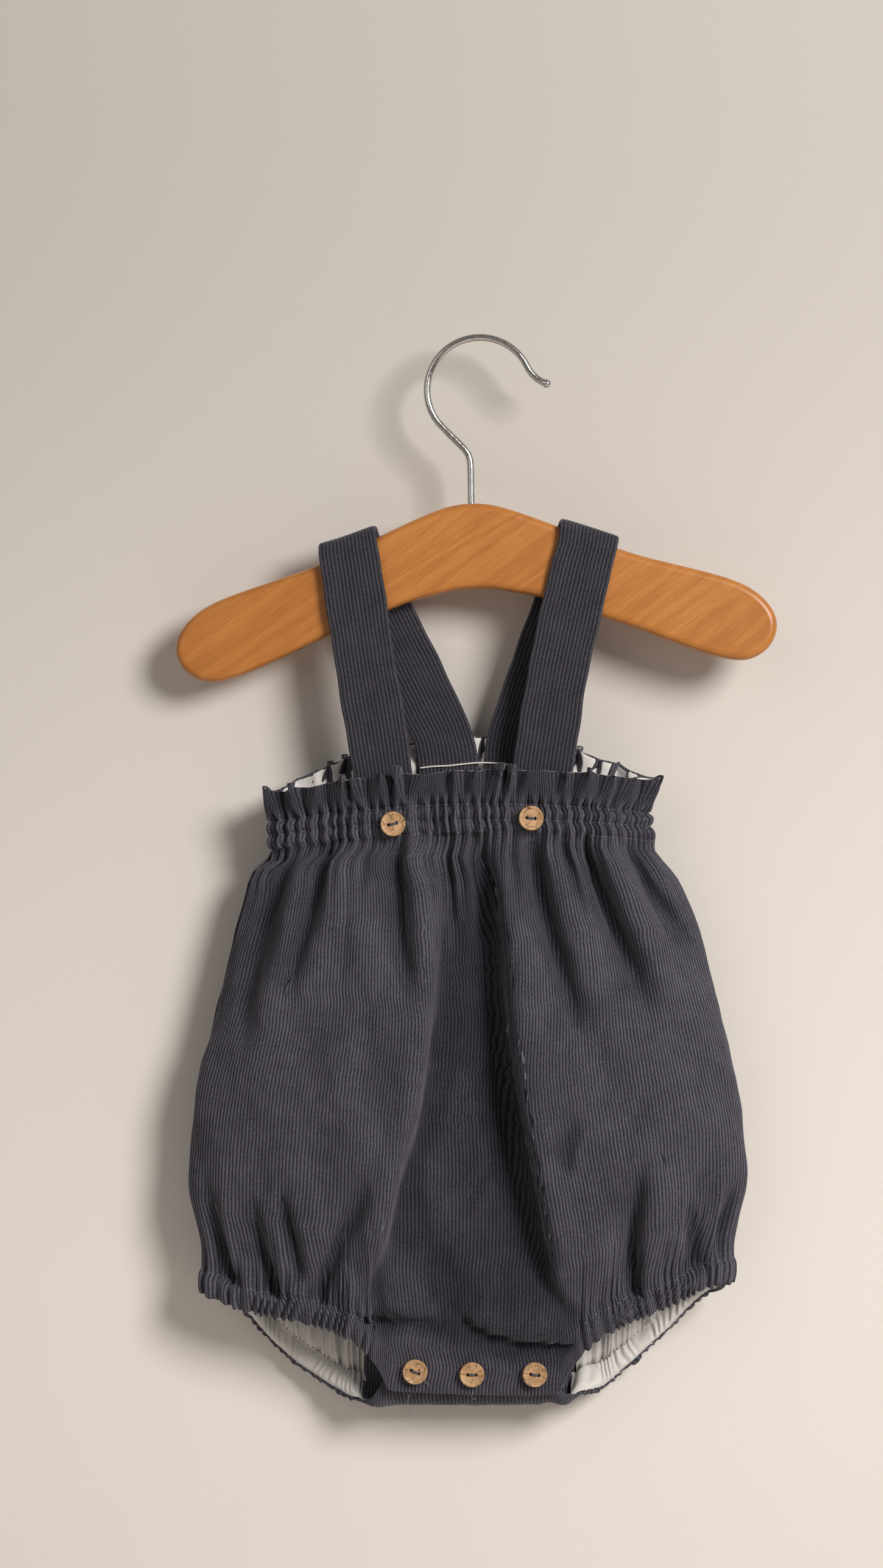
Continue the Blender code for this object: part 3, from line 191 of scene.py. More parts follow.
# Back: the casing seam, the hem, and how far the cloth between them hangs below both
BACK_HEM = (
    # across seam x seam y seam z hem x hem y hem z drop
    (0.000, -134.9, 0, -448.6, -135.2, 0, -460.6, 0),
    (0.060, -119, 14.5, -458, -117.6, 13, -471, 0),
    (0.120, -104, 19, -472.6, -104.5, 17.5, -485.5, 0),
    (0.180, -90, 20.5, -484.4, -93.6, 19, -495.8, 0),
    (0.240, -78, 20, -492.6, -83.6, 17, -503.2, 0),
    (0.300, -67.5, 18, -498.6, -70.6, 12, -510.7, 2),
    (0.342, -60.5, 15.8, -501.2, -61, 4.5, -514, 6),
    (0.370, -53, 13.8, -502.6, -53.4, -5, -512, 10),
    (0.390, -47.5, 13, -503, -47.4, -9.2, -504, 18),
    (0.420, -38, 12.6, -503, -37, -10.1, -492.5, 24),
    (0.500, -4.5, 12.6, -503, -4.5, -10.2, -491, 25),
    (0.580, 28, 12.6, -503, 27.5, -10.1, -492.5, 24),
    (0.604, 34, 13, -503, 33.6, -9.4, -500, 18),
    (0.636, 43, 14, -502.6, 42.6, -5, -509.5, 12),
    (0.672, 53.2, 16.8, -500, 54, 5.6, -511.2, 3),
    (0.700, 57.5, 18, -498, 59, 12, -510.6, 2),
    (0.760, 68.5, 20, -490.6, 72, 17, -501.4, 0),
    (0.820, 79, 20.5, -482.4, 82, 19, -492.6, 0),
    (0.880, 91.5, 19, -470.6, 93.5, 17.5, -482, 0),
    (0.940, 107, 14.5, -455.6, 108, 13, -467, 0),
    (1.000, 123.6, 0, -443.6, 123.2, 0, -455.6, 0),
)

# Column of each hem table that holds the casing seam's height, front and back
SEAM_HEIGHT_COLUMN = (2, 3)
BODY_ROUNDNESS = 2.6

# Edges of the sunken middle panel of the front
PANEL_EDGES = (
    # height left x right x sunk by
    (-240, -19.5, 2, 0),
    (-256, -19.5, 3, 1.5),
    (-280, -18.6, 4.5, 4),
    (-308.8, -19.5, 6.7, 6),
    (-337.9, -23.2, 9.8, 7.5),
    (-362, -26.1, 13.5, 8),
    (-393.4, -35.1, 17.6, 8),
    (-415.7, -39.5, 22, 7),
    (-433.4, -43.8, 26, 5.5),
    (-455.5, -50.2, 35, 3),
    (-470, -55, 46, 1),
    (-486, -58, 52, 0),
)
PANEL_LEFT_SOFTNESS = 5.5
PANEL_RIGHT_SOFTNESS = 2.4
PANEL_DEPTH = 2.5
TROUGH_DEPTH = 1.1
RIDGE_HEIGHT = 1.25
FOLD_WIDTH = 1.05

# Folds of the front: four points down the line, height (minus for a trough), reach to each side
# of the line, and how much of the height is left at the start and the end
FRONT_FOLDS = (
    # x1 z1 x2 z2 x3 z3 x4 z4 height left right start end
    (-94.7, -252.5, -102.2, -280.1, -109.2, -311.2, -113.5, -342.5, -4, 7, 5, 0.8, 0),
    (-70, -254, -78.1, -280.1, -83.9, -295.5, -93.5, -316, -4.5, 6, 5, 1, 0),
    (-84, -254, -92, -280, -98.5, -305, -104.5, -332, 3.5, 6, 7, 0.7, 0),
    (-58, -252, -58, -285, -62, -325, -70, -380, 3, 9, 9, 0.6, 0),
    (-38, -246, -36.6, -273.4, -35.7, -293.7, -34, -320, -3.6, 4.5, 5.5, 1, 0),
    (-26, -248, -26.5, -300, -31, -365, -52, -440, 3.6, 9, 5.5, 0.6, 0.3),
    (-13.9, -243, -13.9, -258, -13.6, -272, -13.1, -286, -3.4, 2.6, 2.6, 1, 0),
    (-7, -246, -6.6, -262, -6, -278, -5, -296, 2.6, 3, 3, 0.8, 0),
    (2.5, -243, 4.2, -275, 10.5, -338, 24.5, -430, -4.6, 4, 3.2, 0.9, 0.1),
    (12, -246, 14.5, -290, 21, -350, 35, -436, 4.6, 5.5, 10, 0.6, 0.5),
    (29.3, -247, 34.6, -277.2, 43.6, -312.6, 50, -343.4, -4.2, 4.5, 5.5, 1, 0),
    (42, -248, 48, -280, 57, -315, 65, -350, 3, 6, 6, 0.8, 0),
    (54.9, -246, 64.2, -272, 74.3, -298.4, 82.5, -328, -4, 4.5, 5.5, 1, 0),
    (66, -250, 75, -276, 86, -305, 94, -335, 2.8, 5, 6, 0.8, 0),
    (75.1, -252, 82.3, -267, 88.2, -276.3, 92.7, -285.3, -2.2, 4, 4, 0.8, 0),
    (77.8, -392, 76.1, -417.2, 74.6, -435.5, 76.4, -458, -4, 8, 3.6, 0, 1),
    (87, -392, 86, -417, 85, -435, 86, -455, 3.2, 5, 7, 0, 0.8),
    (45.6, -380, 42.7, -388.1, 41.2, -393.9, 44.7, -403, -1.6, 4, 4, 0.3, 0),
    (-131.5, -416, -127.8, -431.7, -124.3, -443.3, -122.2, -452, -3.2, 4.5, 4.5, 0, 1),
    (-108.3, -419, -105.7, -434.6, -102.5, -444.7, -99, -457, -3.4, 4.5, 4.5, 0, 1),
    (-94.7, -413, -92.3, -423, -90, -430, -86, -446, -2.8, 4, 4, 0, 0.4),
    (-52.8, -405, -61.8, -424.4, -70.6, -437.8, -78.8, -461, -4, 5.5, 4.5, 0, 1),
    (105.7, -420, 105.4, -431.7, 105.1, -438.9, 104.8, -450, -3.2, 5, 5, 0, 1),
    (124, -415, 121.1, -423, 118.2, -428.8, 116.7, -440, -2.4, 4, 4, 0.2, 0.3),
    (95, -425, 95, -435, 94.5, -442, 94, -452, 2.6, 4.5, 4.5, 0, 0.8),
    (-56, -467, -43, -466, -28.5, -466.5, -15.1, -472, 2.6, 4.5, 4, 0.6, 0.3),
    (-56, -474.5, -43, -473.3, -28.5, -474, -15.1, -479, -2.4, 3.5, 3, 0.6, 0.4),
    (-8.4, -463.5, 2.6, -471, 19.5, -476, 38, -479, 3.2, 4.5, 4, 0.5, 0.2),
    (-6.4, -470.5, 2.6, -479, 19.5, -483.6, 34, -486, -2.2, 3.4, 3.4, 0.6, 0.2),
)

# Narrow pleats of the front, sharper than its folds: four points down the line, depth, width, how
# far the side on the right (or above) laps over, how much is left at the start and the end, how
# much lower the other side lies, and how far that reaches
FRONT_PLEATS = (
    # x1 z1 x2 z2 x3 z3 x4 z4 depth width lap start end step reach
    (1.6, -239, 4.6, -285, 11.5, -345, 33, -446, 3.2, 5, 0.7, 1, 0.8, 7, 12),
    (7, -246, 10, -290, 18, -350, 38, -440, 3.6, 8, 0, 0.6, 0.6, 0, 8),
    (-19.5, -262, -21.5, -330, -33, -393, -54, -462, 0.8, 3, -0.6, 0.2, 0.5, 3.2, 15),
    (28.8, -242, 34.2, -277.2, 43.6, -312.6, 49, -338, 4.2, 3.8, 1.2, 1, 0, 4.6, 12),
    (53, -243, 63.2, -272, 73.3, -298.4, 81.5, -328, 4.6, 3.6, 1.3, 1, 0, 5, 12),
    (76, -248, 84, -264, 93, -276, 104, -292, 2.4, 3, 0.6, 0.8, 0, 2.2, 8),
    (-38.6, -242, -36.9, -268, -36, -290, -34.5, -318, 3.8, 3, 1, 1, 0, 4, 12),
    (-72, -248, -79, -275, -85.5, -296, -94, -318, 4.4, 4, 1, 1, 0, 4.2, 12),
    (-93, -250, -102.5, -280, -109.5, -311, -113, -346, 4.2, 5, 0.7, 0.8, 0, 3.2, 13),
    (-14.6, -240, -14, -256, -13.8, -270, -13.2, -290, 3, 2.2, 0.5, 1, 0, 2.6, 8),
    (-53, -242, -54, -254, -55.5, -264, -57, -276, 2.2, 2.6, 0.4, 1, 0, 1.4, 7),
    (16, -242, 17.5, -254, 19, -266, 21, -282, 2, 2.4, 0.4, 1, 0, 1.2, 6),
    (41, -243, 44.5, -254, 48.5, -266, 53, -279, 2.4, 2.6, 0.5, 1, 0, 1.8, 7),
    (77.8, -390, 76.1, -417.2, 74.6, -435.5, 76.4, -457, 4.4, 3.2, 1.3, 0.1, 1, 3.6, 12),
    (46, -374, 42.9, -387, 41.8, -394, 45.4, -406, 2, 3, 0.5, 0.2, 0, 2, 9),
    (54, -402, 62, -396, 72, -391, 84, -384, -1.8, 6, 0, 0.3, 0.3, 0, 6),
    (101, -415, 103, -428, 104.5, -438, 105.5, -449, 3.6, 3.2, 0.7, 0.1, 1, 2.2, 8),
    (124, -408, 119, -420, 116, -430, 114, -440, 3, 3.2, -0.6, 0.3, 0.5, 2.2, 8),
    (-131, -404, -127.5, -423, -123, -439, -119, -452, 3.8, 3.6, 0.7, 0.1, 1, 2.4, 10),
    (-109, -410, -106, -428, -102, -443, -98, -457, 4, 3.6, 0.8, 0, 1, 3, 10),
    (-94, -406, -92, -421, -89, -433, -86, -450, 3, 3, 0.6, 0, 0.8, 2, 8),
    (-54, -400, -62.5, -422, -71, -440, -78, -460, 3.6, 4.2, -0.8, 0.1, 1, 3, 12),
    (-12, -467.5, 2.6, -478.4, 19.5, -483.2, 42, -484.6, 3.2, 2.4, 1.7, 0.3, 0.8, 5, 9),
    (-56, -472.6, -43, -471.6, -28.5, -472.2, -12, -477.5, 2.2, 2.4, 0.8, 0.8, 0.3, 3.2, 8),
    (-24, -441, -18, -449, -8, -457, 4, -463, 1.8, 4.4, 0.4, 0.1, 0.1, 1.2, 10),
    (-60, -350, -66, -372, -73, -392, -84, -410, 1.4, 9, 0, 0.1, 0.1, 0, 8),
    (62, -340, 67, -362, 75, -380, 86, -396, 1.6, 8, 0, 0.1, 0.1, 0, 8),
    (118, -330, 108, -352, 103, -372, 102, -396, 1.4, 8, 0, 0.1, 0.1, 0, 8),
)
BACK_PLEATS = (
    (-64, -232, -70, -270, -75, -310, -80, -350, 4.6, 2.6, 2.2, 1, 0, 2.6, 10),
    (-30, -226, -34, -270, -37, -320, -40, -370, 5, 2.6, 2.6, 1, 0, 2.8, 10),
    (-4, -222, -4, -280, -3.5, -340, -3, -420, 5.6, 2.8, 3, 1, 0.1, 3.4, 12),
    (24, -224, 28, -270, 32, -315, 36, -360, 5, 2.6, 2.4, 1, 0, 2.8, 10),
    (54, -232, 62, -268, 68, -300, 74, -335, 4.6, 2.4, 2.2, 1, 0, 2.6, 10),
    (-98, -425, -96, -442, -94, -458, -92, -474, 2, 2.6, 0.8, 0, 1, 0.5, 8),
    (-68, -435, -69, -454, -70, -470, -72, -488, 2, 2.6, 0.8, 0, 1, 0.5, 8),
    (62, -435, 62, -454, 62, -470, 62, -486, 2, 2.6, 0.8, 0, 1, 0.5, 8),
    (92, -420, 90, -436, 88, -452, 86, -470, 2, 2.6, 0.8, 0, 1, 0.5, 8),
)

# Folds of the back, which the photo doesn't show: similar and plainer
BACK_FOLDS = (
    (-70, -240, -76, -285, -80, -330, -84, -380, -4, 6, 7, 1, 0),
    (-36, -232, -38, -285, -40, -345, -42, -410, -4.6, 6, 8, 1, 0.1),
    (-6, -228, -5, -290, -4, -360, -2, -440, -5, 7, 7, 0.9, 0.1),
    (26, -230, 30, -285, 34, -345, 38, -405, -4.6, 8, 6, 1, 0.1),
    (58, -238, 66, -280, 72, -325, 76, -372, -4, 7, 6, 1, 0),
    (-54, -236, -58, -290, -62, -350, -66, -420, 3, 9, 9, 0.7, 0.2),
    (-20, -232, -21, -290, -22, -350, -24, -430, 3, 8, 8, 0.7, 0.2),
    (10, -232, 12, -290, 16, -350, 20, -430, 3, 8, 8, 0.7, 0.2),
    (42, -236, 48, -290, 54, -350, 58, -420, 3, 9, 9, 0.7, 0.2),
    (-98, -420, -96, -440, -94, -458, -92, -476, -3.4, 5, 5, 0, 1),
    (-68, -430, -69, -452, -70, -470, -72, -490, -3.4, 5, 5, 0, 1),
    (62, -430, 62, -452, 62, -470, 62, -488, -3.4, 5, 5, 0, 1),
    (92, -415, 90, -435, 88, -452, 86, -472, -3.4, 5, 5, 0, 1),
)

# Straps: middle of the strap at each place, and how far its right edge is turned up in degrees
STRAP_LEFT = (
    # x y z turn
    (-43, -7.8, -246, 4),
    (-44.4, -7.8, -226, 7),
    (-46.4, -8.2, -211, 8),
    (-50, -9, -187, 8.5),
    (-54.1, -8.8, -163.4, 9),
    (-58.3, -8.2, -135, 10),
    (-62, -7.6, -110, 13.5),
    (-63.2, -7.2, -102.5, 16),
    (-63.7, -5.4, -97.2, 18),
    (-63.8, -1.6, -94.9, 19.5),
    (-63.4, 5, -94.9, 20),
    (-62.7, 9.2, -97.4, 21),
    (-61, 11.2, -102, 22),
    (-56, 11.3, -112, 24),
    (-44.2, 11.2, -136, 25),
    (-33.5, 10.6, -158, 25),
    (-23.6, 9.8, -178.5, 22),
    (-18, 9.2, -190.5, 13),
    (-15.6, 8.9, -200.5, 4),
    (-15, 8.9, -208, 1),
    (-14.8, 8.9, -218, 0),
)
STRAP_RIGHT = (
    (28, -7.6, -243, -3),
    (28.6, -7.6, -226, -6),
    (30.3, -8, -209, -8),
    (33.6, -9, -187, -9),
    (37.4, -10.2, -163.4, -9.5),
    (43.4, -11.2, -135, -11.5),
    (50, -12.3, -107, -14.5),
    (51.8, -12.6, -100.5, -16.5),
    (52.8, -11.2, -94.2, -17.5),
    (53, -7.6, -91.9, -18),
    (52.8, -0.8, -91.9, -18.5),
    (51.8, 4, -94.4, -19),
    (50.3, 5.8, -100, -19.5),
    (46.5, 6, -111, -20.5),
    (38, 6.6, -136, -20.5),
    (30, 7.4, -158, -20),
    (22.8, 8.4, -178.5, -17),
    (18.8, 8.9, -192, -9),
    (17.4, 8.9, -201, -3),
    (17, 8.9, -208, -1),
    (16.8, 8.9, -218, 0),
)

# Half of the hanger board's outline, from its middle to its end
BOARD_HALF = (
    # out top bottom
    (0, -78.9, -120),
    (10, -79.9, -120.6),
    (20, -82.9, -122.6),
    (32, -87.6, -125.4),
    (48, -94.4, -131.1),
    (64, -101, -137.2),
    (80, -107.2, -143.4),
    (96, -112, -150.2),
    (112, -116.7, -156.5),
    (124, -120.8, -159.6),
)
BOARD_END = ((133.0, -125.3), (140.5, -131.8), (145.0, -139.8), (144.8, -148.0),
             (140.4, -155.0), (132.6, -159.4))

# Middle line of the hook's wire below its arc, and the arc itself
HOOK_ARC_CENTRE = (0.3, -23.9)
HOOK_ARC_RADIUS = 25.6
HOOK_ARC_START = math.radians(217.0)
HOOK_ARC_END = math.radians(24.0)
HOOK_NECK = ((-16.3, -43.4), (-12.9, -46.8), (-9.8, -49.8), (-7.1, -52.6), (-5.3, -55.2),
             (-4.4, -58.2), (-4.1, -62.6), (-3.9, -79.0))
HOOK_TIP = ((25.5, -16.0), (27.9, -18.3), (30.0, -19.6))
HOOK_BALL_CENTRE = (32.5, -20.7)

# Buttons: middle x and z, turn of the line through the holes in degrees
BUTTONS = (
    ("button_waist_left", -41.6, -233.9, 13),
    ("button_waist_right", 24.6, -231.1, -5),
    ("button_crotch_left", -31, -496.6, -25),
    ("button_crotch_middle", -3.7, -498, 0),
    ("button_crotch_right", 26.4, -498, -8),
)

def curve_through(table, key, column, at):
    """Read a column of a table at any key, smoothly between its rows."""
    keys = np.array([row[key] for row in table], float)
    values = np.array([row[column] for row in table], float)
    if keys[0] > keys[-1]:
        keys = keys[::-1]
        values = values[::-1]
    at = np.clip(np.asarray(at, float), keys[0], keys[-1])
    steps = np.diff(keys)
    slopes = np.diff(values) / steps
    tangents = np.empty_like(values)
    tangents[0] = slopes[0]
    tangents[-1] = slopes[-1]
    same_way = slopes[:-1] * slopes[1:] > 0
    mean = 2 * slopes[:-1] * slopes[1:] / np.where(same_way, slopes[:-1] + slopes[1:], 1.0)
    tangents[1:-1] = np.where(same_way, mean, 0.0)
    index = np.clip(np.searchsorted(keys, at, side="right") - 1, 0, len(steps) - 1)
    step = steps[index]
    part = (at - keys[index]) / step
    return ((1 + 2 * part) * (1 - part) ** 2 * values[index]
            + part * (1 - part) ** 2 * step * tangents[index]
            + part ** 2 * (3 - 2 * part) * values[index + 1]
            + part ** 2 * (part - 1) * step * tangents[index + 1])


def ease(value, start, end):
    """Go smoothly from 0 at the start to 1 at the end."""
    part = np.clip((value - start) / (end - start), 0.0, 1.0)
    return part * part * (3 - 2 * part)


def bell(value, width, power=2):
    """1 where the value is zero, falling to nothing beyond the width."""
    return np.exp(-(value / width) ** power)


def unit(vectors):
    """Vectors brought to length 1."""
    return vectors / np.maximum(np.linalg.norm(vectors, axis=-1), 1e-9)[..., None]


def pick(values, turn):
    """The drawn value of each whole turn."""
    return values[np.clip(np.floor(turn), 0, len(values) - 1).astype(int)]


def lengths_along(points):
    """How far along a line each of its points is."""
    return np.concatenate([[0.0], np.cumsum(np.linalg.norm(np.diff(points, axis=0), axis=1))])


def sample(at, keys, points):
    """Points between the given ones."""
    return np.stack([np.interp(at, keys, points[:, k]) for k in range(3)], axis=1)


def fitted(row, steps):
    """The four points of a fold's row, and a smooth line through them: shares of it, x and z."""
    line = np.array(row[:8]).reshape(4, 2)
    along = np.linspace(0, 1, steps)
    knots = np.linspace(0, 1, 4)
    line_x, line_z = (np.polyval(np.polyfit(knots, line[:, k], 3), along) for k in (0, 1))
    return line, along, line_x, line_z


def fold_heights(folds, x, z):
    """Add up the troughs and ridges of a fold table at each place of the cloth."""
    total = np.zeros_like(x)
    for fold in folds:
        line, along, line_x, line_z = fitted(fold, FOLD_LINE_STEPS)
        height, left, right, start, end = fold[8:]
        away = (x[:, None] - line_x) ** 2 + (z[:, None] - line_z) ** 2
        near = np.argmin(away, axis=1)
        distance = np.sqrt(away[np.arange(len(x)), near])
        way_x = np.gradient(line_x)[near]
        way_z = np.gradient(line_z)[near]
        side = way_x * (z - line_z[near]) - way_z * (x - line_x[near])
        reach = np.where(side < 0, left, right)
        if line[0, 1] - line[3, 1] > abs(line[0, 0] - line[3, 0]):
            reach = np.where(x < line_x[near], left, right)
        share = start + (end - start) * along[near]
        middle = 1 - (2 * along[near] - 1) ** 4
        strength = share * (1 - middle) + middle * np.maximum(share, FOLD_MIDDLE)
        size = height * (TROUGH_DEPTH if height < 0 else RIDGE_HEIGHT)
        total += size * strength * bell(distance, reach * FOLD_WIDTH)
    return total


def side_profile(x, left, right, power):
    """How much of the full bulge there is across the body, 0 at both side seams."""
    across = np.clip((2 * x - left - right) / (right - left), -1, 1)
    return np.sqrt(np.clip(1 - np.abs(across) ** power, 0, 1))


def waist_row(table, across, level):
    """Points of a waist row, from the left side seam to the right one."""
    left_x, left_z, mid_z, right_x, right_z, depth = (
        curve_through(table, 0, column, level) for column in range(1, 7))
    x = left_x + (right_x - left_x) * across
    lift = 2 * across - 1
    z = mid_z + (left_z - mid_z) * (lift - 1) * lift / 2 + (right_z - mid_z) * (lift + 1) * lift / 2
    return x, depth * side_profile(x, left_x, right_x, 3.0), z


def body_spread(across, level, table, waist):
    """Place a body row between the waist and the casing seam, inside the side outline."""
    seam_x = curve_through(table, 0, 1, across)
    seam_z = curve_through(table, 0, SEAM_HEIGHT_COLUMN[table is BACK_HEM], across)
    down = level - STITCH_3
    top_x, _, top_z = waist_row(waist, across, STITCH_3)
    z = top_z + (seam_z - top_z) * down
    first = table[0][1]
    last = table[-1][1]
    spread = across + ((seam_x - first) / (last - first) - across) * ease(down, 0, 1)
    left = curve_through(BODY_OUTLINE, 0, 1, z)
    right = curve_through(BODY_OUTLINE, 0, 2, z)
    start = ease(down, 0.0, 0.05)
    end = ease(down, 0.8, 1.0)
    x = left + (right - left) * spread
    x = top_x * (1 - start) + x * start
    return x * (1 - end) + seam_x * end, z, spread


def standing_out(x, z, spread, column, folds, share):
    """How far the body stands out on one side, with its folds."""
    profile = np.sqrt(np.clip(1 - np.abs(2 * spread - 1) ** BODY_ROUNDNESS, 0, 1))
    depth = curve_through(BODY_OUTLINE, 0, column, z) * profile
    return depth + share * folds * ease(profile, *FOLD_FADE)


def front_folds(x, z):
    """Folds of the front and its sunken middle panel."""
    edge_left = curve_through(PANEL_EDGES, 0, 1, z)
    edge_right = curve_through(PANEL_EDGES, 0, 2, z)
    sunk = curve_through(PANEL_EDGES, 0, 3, z)
    inside = 0.5 * (np.tanh((x - edge_left) / PANEL_LEFT_SOFTNESS)
                    - np.tanh((x - edge_right) / PANEL_RIGHT_SOFTNESS))
    return fold_heights(FRONT_FOLDS, x, z) - PANEL_DEPTH * sunk * inside


def front_point(across, level, share=1.0):
    """A point of the front panel's outside, without its gathers."""
    if level < STITCH_3:
        x, depth, z = waist_row(FRONT_WAIST, across, level)
        return np.stack([x, -depth - SEAM_GAP / 2, z], axis=1)
    if level <= CASING:
        x, z, spread = body_spread(across, level, FRONT_HEM, FRONT_WAIST)
    else:
        down = level - CASING
        seam_x, seam_z, hem_x, hem_z = (curve_through(FRONT_HEM, 0, k, across) for k in range(1, 5))
        x = seam_x + (hem_x - seam_x) * down
        z = seam_z + (hem_z - seam_z) * down
        first = FRONT_HEM[0][1] + (FRONT_HEM[0][3] - FRONT_HEM[0][1]) * down
        last = FRONT_HEM[-1][1] + (FRONT_HEM[-1][3] - FRONT_HEM[-1][1]) * down
        spread = (x - first) / (last - first)
    start = ease(level, STITCH_3, STITCH_3 + 0.1)
    _, waist_depth, _ = waist_row(FRONT_WAIST, across, STITCH_3)
    depth = standing_out(x, z, spread, 3, front_folds(x, z), share * start)
    depth = depth * start + waist_depth * (1 - start)
    return np.stack([x, -depth - SEAM_GAP / 2, z], axis=1)


def back_point(across, level, share=1.0):
    """A point of the back panel's outside, without its gathers."""
    if level < STITCH_3:
        x, depth, z = waist_row(BACK_WAIST, across, level)
        return np.stack([x, depth + SEAM_GAP / 2, z], axis=1)
    seam_x, seam_y, seam_z, hem_x, hem_y, hem_z, drop = (
        curve_through(BACK_HEM, 0, column, across) for column in range(1, 8))
    if level <= CASING:
        x, z, spread = body_spread(across, level, BACK_HEM, BACK_WAIST)
        start = ease(level, STITCH_3, STITCH_3 + 0.1)
        _, waist_depth, _ = waist_row(BACK_WAIST, across, STITCH_3)
        depth = standing_out(x, z, spread, 4, fold_heights(BACK_FOLDS, x, z), share * start)
        depth = depth * start + waist_depth * (1 - start)
        end = ease(level, STITCH_3 + 0.62, CASING)
        depth = depth * (1 - end) + seam_y * end
        return np.stack([x, depth + SEAM_GAP / 2, z], axis=1)
    part = level - CASING
    weight = 1 - part ** 2 * (3 - 2 * part)
    turned = ease(drop, 0, 12)
    weight = (1 - part) * (1 - turned) + weight * turned
    x = seam_x * weight + hem_x * (1 - weight)
    y = seam_y * weight + hem_y * (1 - weight)
    z = seam_z * weight + hem_z * (1 - weight) - turned * drop * 3 * part * (1 - part)
    return np.stack([x, y + SEAM_GAP / 2, z], axis=1)


def columns(point, level, count):
    """Spread columns evenly along the cloth of a row; give their places across."""
    dense = 0.5 - 0.5 * np.cos(np.linspace(0, math.pi, DENSE_PLACES))
    length = lengths_along(point(dense, level))
    return np.interp(np.linspace(0, length[-1], count + 1), length, dense)


def uneven(part, count, seed):
    """Phase of a row of gathers whose widths differ."""
    wander = np.zeros_like(part)
    for size, turns, shift in GATHER_WANDER:
        wander += size * np.sin(2 * math.pi * turns * part + shift * seed)
    return 2 * math.pi * (count * part + wander * np.sin(math.pi * part))


# Fine forms that only this script makes, in millimetres
WALES = 180
STEPS_PER_WALE = 4
WALE_PROFILE = (0.0, 0.78, 1.0, 0.78)
WALE_HEIGHT = 0.46
CLOTH = 0.95
WAIST_RIDGE = 2.6
WAIST_VALLEY = 1.5
BUNCHING = 0.34
MERGED_FOLDS = 12
MERGED_HEIGHT = 1.5
FLUTE_OUT = 4.6
FLUTE_IN = 3.4
EDGE_DROP = 1.6
WALL_STEP = 1.3
LEG_RIDGE = 2.0
LEG_VALLEY = 1.0
LEG_FLUTES = 21
LEG_SCALLOP = 1.1
CASING_PUFF = 0.9
CRUMPLE = 0.45
SWELL = 1.7
FACING_CLOTH = 0.45
FACING_GAP = 0.25
STRAP_WALES = 16
STRAP_WALE_HEIGHT = 0.34
SEAM_REACH = 0.012
SOFT_SHARE = 0.35
DENSE_PLACES = 900
PLEAT_LINE_STEPS = 241

# Stitches: length, gap, radius and, for the lining, how deep their ends sink
STITCH = (1.9, 1.1, 0.17)
LINING_STITCH = (0.8, 2.0, 0.2, 0.1)

# Rows of each panel: from level, to level, how many
FRONT_LEVELS = (
    # from to rows
    (0.00, 0.04, 1),
    (0.04, 1.00, 13),
    (1.00, 2.00, 7),
    (2.00, 3.00, 7),
    (3.00, 3.16, 7),
    (3.16, 3.90, 44),
    (3.90, 4.00, 6),
    (4.00, 4.90, 9),
    (4.90, 5.00, 3),
)
BACK_LEVELS = (
    (0.00, 0.04, 1),
    (0.04, 1.00, 13),
    (1.00, 2.00, 6),
    (2.00, 3.00, 6),
    (3.00, 3.16, 6),
    (3.16, 3.90, 38),
    (3.90, 4.00, 5),
    (4.00, 4.90, 13),
    (4.90, 5.00, 3),
)


def levels_of(spans):
    """All the levels of a panel's rows."""
    found = [spans[0][0]]
    for start, stop, rows in spans:
        found.extend(np.linspace(start, stop, rows + 1)[1:])
    return found


def hills(shape, sizes, seed):
    """Smooth uneven hills over a grid, about 1 high."""
    chance = np.random.default_rng(seed)
    rows, across = shape
    v, u = np.meshgrid(np.linspace(0, 1, rows), np.linspace(0, 1, across), indexing="ij")
    total = np.zeros(shape)
    for waves_u, waves_v in sizes:
        for _ in range(3):
            a = waves_u * (0.7 + 0.6 * chance.random())
            b = waves_v * (0.7 + 0.6 * chance.random()) * chance.choice((-1, 1))
            total += np.sin(2 * math.pi * (a * u + b * v + chance.random()))
    return total / (1.6 * math.sqrt(3 * len(sizes)))


